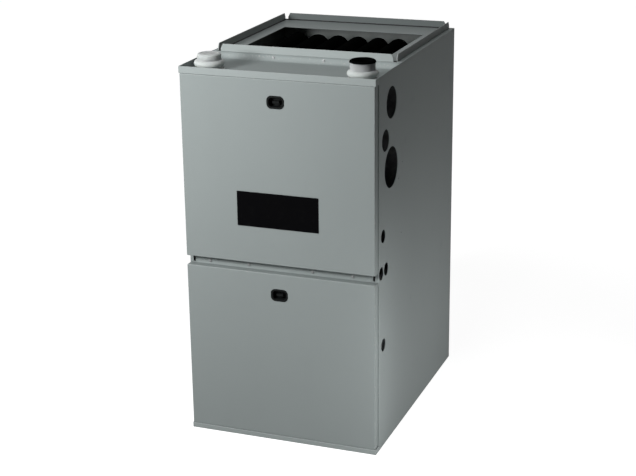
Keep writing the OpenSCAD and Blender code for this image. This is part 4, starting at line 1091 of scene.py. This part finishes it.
@dataclass
class Collars:
    """Pipe collars on the vent plate and the plug in the air intake."""

    barrel: float = 32.0
    socket: float = 30.4
    bore: float = 27.15
    flange: float = 41.0
    bead: float = 8.4
    bead_z: float = 1014.0
    stop_low: float = 1008.0
    stop_high: float = 1012.0
    lip: float = 33.8
    liner_drop: float = 6.5
    liner_wall: float = 2.8
    sheet: float = 1.2
    head_z: float = 1025.0
    gap: float = 0.05

    def build(self) -> None:
        """Builds both collars and the plug."""
        self.collar("vent_collar", self.liner_drop)
        self.collar("intake_collar", 0.0)
        self.plug()
        self.liner()

    def collar(self, node: str, drop: float) -> None:
        """Builds one collar, turned from its section.

        Args:
            node: The CAD node that it stands for.
            drop: How far its rim is lowered to carry a liner's lip.
        """
        low, high = box_mm(node)
        middle = middle_mm(node)
        plate_z = box_mm("vent_plate")[0].z + self.sheet
        top = high.z - drop
        bead = [
            (self.barrel - 0.5 + self.bead * math.cos(a), self.bead_z + self.bead * math.sin(a))
            for a in [(-0.5 + i / 16) * math.pi for i in range(17)]
        ]
        bead = [(max(r, self.barrel), z) for r, z in bead if z > plate_z + 3]
        profile = [
            (self.socket, low.z), (self.barrel, low.z), (self.barrel, plate_z), (self.flange - 0.6, plate_z),
            (self.flange, plate_z + 0.6), (self.flange, plate_z + 1.4), (self.flange - 0.6, plate_z + 2.0),
            (self.barrel + 1.0, plate_z + 2.0), (self.barrel + 0.2, plate_z + 2.6), *bead,
            (self.barrel, top - 1.2), (self.barrel - 0.5, top - 0.3), (self.barrel - 1.2, top),
            (self.socket + 0.8, top), (self.socket + 0.2, top - 0.3), (self.socket, top - 1.0),
            (self.socket, self.stop_high), (self.bore, self.stop_high), (self.bore, self.stop_low),
            (self.socket, self.stop_low),
        ]
        form = Form().turned(profile, middle)
        form.piece(f"{node}_moulding", "cabinet", WHITE_PLASTIC, [node])

    def liner(self) -> None:
        """Builds the black rubber liner in the vent collar, with its lip over the rim."""
        top = box_mm("vent_collar")[1].z
        middle = middle_mm("vent_collar")
        bore = self.socket - self.liner_wall
        foot = top - self.liner_drop + self.gap
        lip = [
            (bore + 1 + (self.lip - bore - 1) * math.cos(a), foot + (top - foot) * math.sin(a))
            for a in [i / 16 * math.pi for i in range(9)]
        ]
        profile = [
            (bore, self.stop_high + 0.1), (self.socket - self.gap, self.stop_high + 0.1),
            (self.socket - self.gap, foot), *lip, (bore, top - 1.0),
        ]
        form = Form().turned(profile, middle)
        form.piece("vent_collar_liner", "cabinet", VENT_BLACK)

    def plug(self) -> None:
        """Builds the plug with its rounded head and hollow skirt."""
        low, high = box_mm("intake_plug")
        middle = middle_mm("intake_plug")
        head_r = (high.x - low.x) / 2
        skirt = self.socket - 0.25
        profile = [
            (skirt, low.z + 0.6), (skirt, self.head_z), (head_r - 0.3, self.head_z),
            (head_r, self.head_z + 0.5),
            (head_r, high.z - 3.2), (head_r - 0.5, high.z - 2.0), (head_r - 1.6, high.z - 0.8),
            (head_r - 3.4, high.z), (head_r - 9.0, high.z), (head_r - 9.6, high.z - 0.8),
            (2.0, high.z - 0.8), (0.0, high.z - 0.8), (0.0, high.z - 3.2), (skirt - 3.0, high.z - 3.2),
            (skirt - 3.0, low.z), (skirt - 0.6, low.z),
        ]
        form = Form().turned(profile, middle)
        form.piece("intake_plug_moulding", "intake_plug", WHITE_PLASTIC, ["intake_plug"])


@dataclass
class DoorSet:
    """Both door pans, their latches and the badge plate."""

    sheet: float = 1.2
    bend: float = 2.2
    lip: float = 12.0
    rim_w: float = 48.0
    rim_h: float = 34.0
    rim_border: float = 3.0
    corner: float = 13.0
    wall: float = 2.0
    shank_bore: float = 4.05

    def build(self) -> None:
        """Builds both doors, their latches and the badge."""
        for part in ("upper", "lower"):
            self.pan(part)
            self.cup(part)
            knob = f"{part}_latch_knob"
            Fitting(knob, BLACK_PLASTIC, 0.45, body=f"{part}_latch", ending="moulding").build()
        self.badge()

    def opening(self, part: str, grow: float, front: float, back: float) -> Form:
        """The latch's outline as a solid.

        Args:
            part: Which door, upper or lower.
            grow: How far it stands out past the cup's wall.
            front: Where it starts.
            back: Where it ends.

        Returns:
            The solid.
        """
        z = middle_mm(f"{part}_latch_cup").z
        w = self.rim_w / 2 - self.rim_border + grow
        h = self.rim_h / 2 - self.rim_border + grow
        radius = self.corner - self.rim_border + grow
        return Form().rounded_bar((-w, front, z - h), (w, back, z + h), Axis.Y, radius)

    def pan(self, part: str) -> None:
        """Builds one door pan with its returns and lip.

        Args:
            part: Which door, upper or lower.
        """
        low, high = box_mm(f"{part}_door")
        form = Form().block(low, high)
        form.bm.faces.ensure_lookup_table()
        back = [f for f in form.bm.faces if f.normal.y > 0.9]
        bmesh.ops.inset_region(form.bm, faces=back, thickness=self.lip)
        bmesh.ops.delete(form.bm, geom=back, context="FACES")
        form.round_edges(self.bend, 5)
        form.thicken(self.sheet)
        form.cut(self.opening(part, 0.05, low.y - 3, low.y + 6))
        form.piece(f"{part}_door_pan", f"{part}_door", PAINT, [f"{part}_door"])

    def cup(self, part: str) -> None:
        """Builds one latch cup, with its rounded rim.

        Args:
            part: Which door, upper or lower.
        """
        low, high = box_mm(f"{part}_latch_cup")
        face = box_mm(f"{part}_door")[0].y
        form = self.opening(part, self.rim_border, low.y, face)
        form.round_edges(0.55, 3, lies_on(Axis.Y, low.y))
        form.cut(self.opening(part, -self.wall, low.y - self.wall, face + self.wall))
        body = self.opening(part, -0.02, face - 0.4, high.y)
        body.cut(self.opening(part, -self.wall, face - self.wall, high.y - self.wall))
        shank = (0, high.y - 2 * self.wall, (low.z + high.z) / 2)
        body.cut(Form().rod(shank, Axis.Y, 4 * self.wall, self.shank_bore, 32))
        form.add(body)
        form.round_edges(0.5, 2, lies_on(Axis.Y, low.y))
        form.piece(f"{part}_latch_cup_moulding", f"{part}_door", BLACK_PLASTIC, [f"{part}_latch_cup"])

    def badge(self) -> None:
        """Builds the badge plate with its rounded corners and edges."""
        low, high = box_mm("badge_plate")
        form = Form().rounded_bar(low, high, Axis.Y, 1.6, 4)
        form.round_edges(0.35, 2, lies_on(Axis.Y, low.y))
        form.piece("badge_plate_face", "upper_door", BADGE_BLACK, ["badge_plate"])


@dataclass
class Screws:
    """Hexagon washer head screws of the casing."""

    washer: float = 4.5
    across: float = 3.6
    height: float = 3.0
    washer_t: float = 0.8
    shank: tuple[float, float, float] = (6.0, 1.9, 1.2)
    rail_x: tuple[float, ...] = (-207.0, -95.0, 85.0, 196.0)
    rail_z: float = 488.0
    plate_x: tuple[float, ...] = (-90.0, 52.0)
    plate_z: float = 1006.0

    def build(self) -> None:
        """Builds the gap's four screws and the vent plate's two."""
        rail_y = box_mm("mid_rail")[0].y
        plate_y = box_mm("vestibule_panel")[0].y
        form = Form()
        for x in self.rail_x:
            self.screw(form, x, rail_y, self.rail_z)
        for x in self.plate_x:
            self.screw(form, x, plate_y, self.plate_z)
        form.piece("casing_screw_heads", "cabinet", ZINC, ["casing_screws"])

    def screw(self, form: Form, x: float, y: float, z: float) -> None:
        """Adds one screw that is driven towards the back.

        Args:
            form: The form that it is added to.
            x: Its place across the cabinet.
            y: The face that its head sits on.
            z: Its height.
        """
        head = Form()
        head.rod((x, y - self.height, z), Axis.Y, self.height - self.washer_t, self.across, 6)
        head.rod((x, y - self.washer_t, z), Axis.Y, self.washer_t, self.washer, 32)
        head.round_edges(0.3, 2)
        length, radius, point = self.shank
        head.rod((x, y, z), Axis.Y, length, radius, 20, point)
        form.add(head)


INNER_FITTINGS = (
    Fitting("vestibule_panel", SHADED_ZINC_COAT, 0.0),
    Fitting("blower_deck", GALVANISED),
    Fitting("casing_liner", SHADED_FOIL, 0.8),
    Fitting("vent_pipe", VENT_BLACK, 0.0),
    Fitting("vent_coupling", RUBBER, 0.6),
    Fitting("heat_exchanger_tubes", SHADED_OXIDE, 0.0, rise=12.0),
    Fitting("rear_header", ALUMINISED),
    Fitting("secondary_fins", FIN_ALUMINIUM, 0.0),
    Fitting("secondary_tubes", STAINLESS, 0.0),
    Fitting("cold_header", HEADER_PLASTIC, 0.6),
    Fitting("burner_box", GALVANISED),
    Fitting("burner_rack", ALUMINISED, 0.3),
    Fitting("gas_manifold", GAS_PIPE),
    Fitting("gas_valve", VALVE_CASTING, 0.8),
    Fitting("gas_valve_knob", RED_PLASTIC, 0.5, body="gas_valve_knob"),
    Fitting("igniter_and_flame_sensor", CERAMIC, 0.3),
    Fitting("inducer_housing", HEADER_PLASTIC, 0.6),
    Fitting("inducer_motor", MOTOR_BLACK, 0.6),
    Fitting("inducer_wheel", HEADER_PLASTIC, 0.0, body="inducer_wheel"),
    Fitting("pressure_switches", ZINC),
    Fitting("condensate_trap", TRAP_PLASTIC, 0.8),
    Fitting("hoses", RUBBER, 0.0),
    Fitting("rollout_switch", CERAMIC, 0.3),
    Fitting("rollout_reset_button", RED_PLASTIC, 0.3, body="rollout_reset"),
    Fitting("control_bracket", GALVANISED, 0.3),
    Fitting("control_board", BOARD_GREEN, 0.2),
    Fitting("transformer", TRANSFORMER),
    Fitting("junction_box", GALVANISED),
    Fitting("door_switch", BLACK_PLASTIC),
    Fitting("door_switch_plunger", WHITE_PLASTIC, 0.3, body="switch_plunger"),
    Fitting("blower_housing", GALVANISED, 0.0),
    Fitting("blower_housing_sides", GALVANISED, 0.3),
    Fitting("blower_wheel", GALVANISED, body="blower_wheel"),
    Fitting("blower_wheel_rings", GALVANISED, 0.6, body="blower_wheel"),
    Fitting("blower_blades", GALVANISED, 0.0, body="blower_wheel"),
    Fitting("blower_shaft", STAINLESS, 0.3, body="blower_wheel"),
    Fitting("blower_motor", MOTOR_BLACK, 0.8),
    Fitting("blower_mounts", GALVANISED, 0.3),
    Fitting("wiring_harness", RUBBER, 0.0),
)


# ------------------------------------------------------------------------------ studio


@dataclass
class Studio:
    """Pale floor, soft light and the camera at the photograph's viewing angle."""

    focal_px: float = 1497.0
    frame_px: float = 636.0
    azimuth: float = 20.78
    elevation: float = 18.52
    roll: float = -0.73
    distance: float = 4.238
    target: tuple[float, float, float] = (-0.024, 0.0, 0.465)
    fill: float = 0.027
    floor_colour: float = 0.40
    floor_size: float = 40.0
    near: float = 0.5
    near_tone: float = 0.93
    # how dark the painted shadow below the cabinet is
    painted_shadow_tone: float = 0.02
    soft: float = 0.001

    def build(self) -> None:
        """Builds the floor, the lights and the camera."""
        self.world()
        self.floor()
        self.lamp("key", (-0.85, -1.75, 1.45), (0.0, -0.3, 0.70), 0.5, 33.0)
        self.lamp("overhead", (-0.45, -0.4, 3.4), (-0.1, 0, 1.0), 1.3, 9.3)
        self.lamp("front_top", (0.15, -1.0, 2.5), (0.0, -0.36, 0.6), 0.3, 4.0)
        self.lamp("side_low", (0.90, 0.15, 0.10), (0.27, 0.15, 0.06), 0.4, 1.75)
        self.lamp("side_front", (0.55, -0.47, 0.22), (0.267, -0.36, 0.20), 0.12, 1.05, height=0.6)
        self.camera()

    def world(self) -> None:
        """Makes a white surround that lights the object only a little."""
        world = bpy.data.worlds.new("studio")
        bpy.context.scene.world = world
        recipe = Recipe(world)
        seen = self.seen(recipe)
        strength = seen * (1 - self.fill) + self.fill
        light = recipe.node("ShaderNodeBackground", {}, {"Color": opaque(WHITE), "Strength": strength})
        recipe.node("ShaderNodeOutputWorld", {}, {0: light.outputs[0]})

    @staticmethod
    def seen(recipe: Recipe) -> Value:
        """1 for rays that show the surround in the camera, in metal or in glass."""
        path = recipe.node("ShaderNodeLightPath", {}, {})
        direct = Value(recipe, path.outputs["Is Camera Ray"]) + Value(recipe, path.outputs["Is Glossy Ray"])
        total = direct + Value(recipe, path.outputs["Is Transmission Ray"])
        clamp = recipe.node("ShaderNodeClamp", {}, {0: total})
        return Value(recipe, clamp.outputs[0])

    def floor(self) -> None:
        """Makes the floor, which shows white, keeps the shadow and has a painted shadow below the cabinet.
        """
        bm = bmesh.new()
        bmesh.ops.create_grid(bm, x_segments=1, y_segments=1, size=self.floor_size)
        mesh = bpy.data.meshes.new("studio_floor")
        bm.to_mesh(mesh)
        bm.free()
        made = linked("studio_floor", mesh)
        recipe = Recipe.named("studio_floor")
        grey = opaque(toned(WHITE, self.floor_colour))
        matte = recipe.node("ShaderNodeBsdfDiffuse", {}, {"Color": grey})
        place = recipe.stretched((self.near, self.near, self.near))
        ball = recipe.node("ShaderNodeTexGradient", {"gradient_type": "SPHERICAL"}, {"Vector": place})
        near = Value(recipe, ball.outputs[1])
        tone = recipe.blend(near.above(0.0, 0.5), WHITE, toned(WHITE, self.near_tone))
        axes = recipe.node("ShaderNodeSeparateXYZ", {}, {"Vector": recipe.place})
        # painted shadow: the floor's glow is made dark inside the base pan's outline
        painted_shadow_mask: Number = 1.0
        for socket, least, most in zip(axes.outputs[:2], *(corner / MM for corner in box_mm("base_pan"))):
            value = Value(recipe, socket)
            short = 1.0 - value.above(most - self.soft, most)
            painted_shadow_mask = value.above(least, least + self.soft) * short * painted_shadow_mask
        tone = recipe.blend(painted_shadow_mask, tone, toned(WHITE, self.painted_shadow_tone))
        glow = recipe.node("ShaderNodeEmission", {}, {"Color": tone, "Strength": 1.0})
        both = recipe.node("ShaderNodeAddShader", {}, {0: matte.outputs[0], 1: glow.outputs[0]})
        shown = {0: self.seen(recipe), 1: matte.outputs[0], 2: both.outputs[0]}
        half = recipe.node("ShaderNodeMixShader", {}, shown)
        recipe.node("ShaderNodeOutputMaterial", {}, {0: half.outputs[0]})
        mesh.materials.append(recipe.owner)

    def lamp(
        self, name: str, place: Point, target: Point, size: float, watts: float, height: float = 0.0
    ) -> None:
        """Makes one soft lamp.

        Args:
            name: The lamp's name.
            place: Where it stands, in metres.
            target: What it points at.
            size: Its width.
            watts: Its power.
            height: Its height, or the same as its width if 0.
        """
        data = bpy.data.lights.new(name, "AREA")
        data.shape = "RECTANGLE"
        data.size = size
        data.size_y = height or size
        data.energy = watts
        made = linked(name, data)
        made.location = place
        made.rotation_euler = (Vector(target) - Vector(place)).to_track_quat("-Z", "Y").to_euler()
        made.visible_camera = False

    def camera(self) -> None:
        """Places the camera where the photograph was taken from."""
        az, el, roll = (math.radians(a) for a in (self.azimuth, self.elevation, self.roll))
        back = Vector((math.sin(az) * math.cos(el), -math.cos(az) * math.cos(el), math.sin(el)))
        right = Vector((math.cos(az), math.sin(az), 0.0))
        down = (-back).cross(right)
        rolled_right = math.cos(roll) * right - math.sin(roll) * down
        rolled_down = math.sin(roll) * right + math.cos(roll) * down
        data = bpy.data.cameras.new("photo_view")
        data.sensor_width = 36.0
        data.lens = self.focal_px * data.sensor_width / self.frame_px
        made = linked("photo_view", data)
        turn = Matrix((rolled_right, -rolled_down, back)).transposed().to_4x4()
        made.matrix_world = Matrix.Translation(Vector(self.target) + back * self.distance) @ turn
        bpy.context.scene.camera = made


def main() -> None:
    """Builds the furnace and its studio."""
    logging.basicConfig(level=logging.INFO, format="%(name)s %(message)s")
    bpy.context.scene.view_settings.view_transform = "Standard"
    Studio().build()
    CabinetShell().build()
    SupplyTop().build()
    Collars().build()
    DoorSet().build()
    Screws().build()
    for fitting in INNER_FITTINGS:
        fitting.build()


if __name__ == "__main__":
    main()
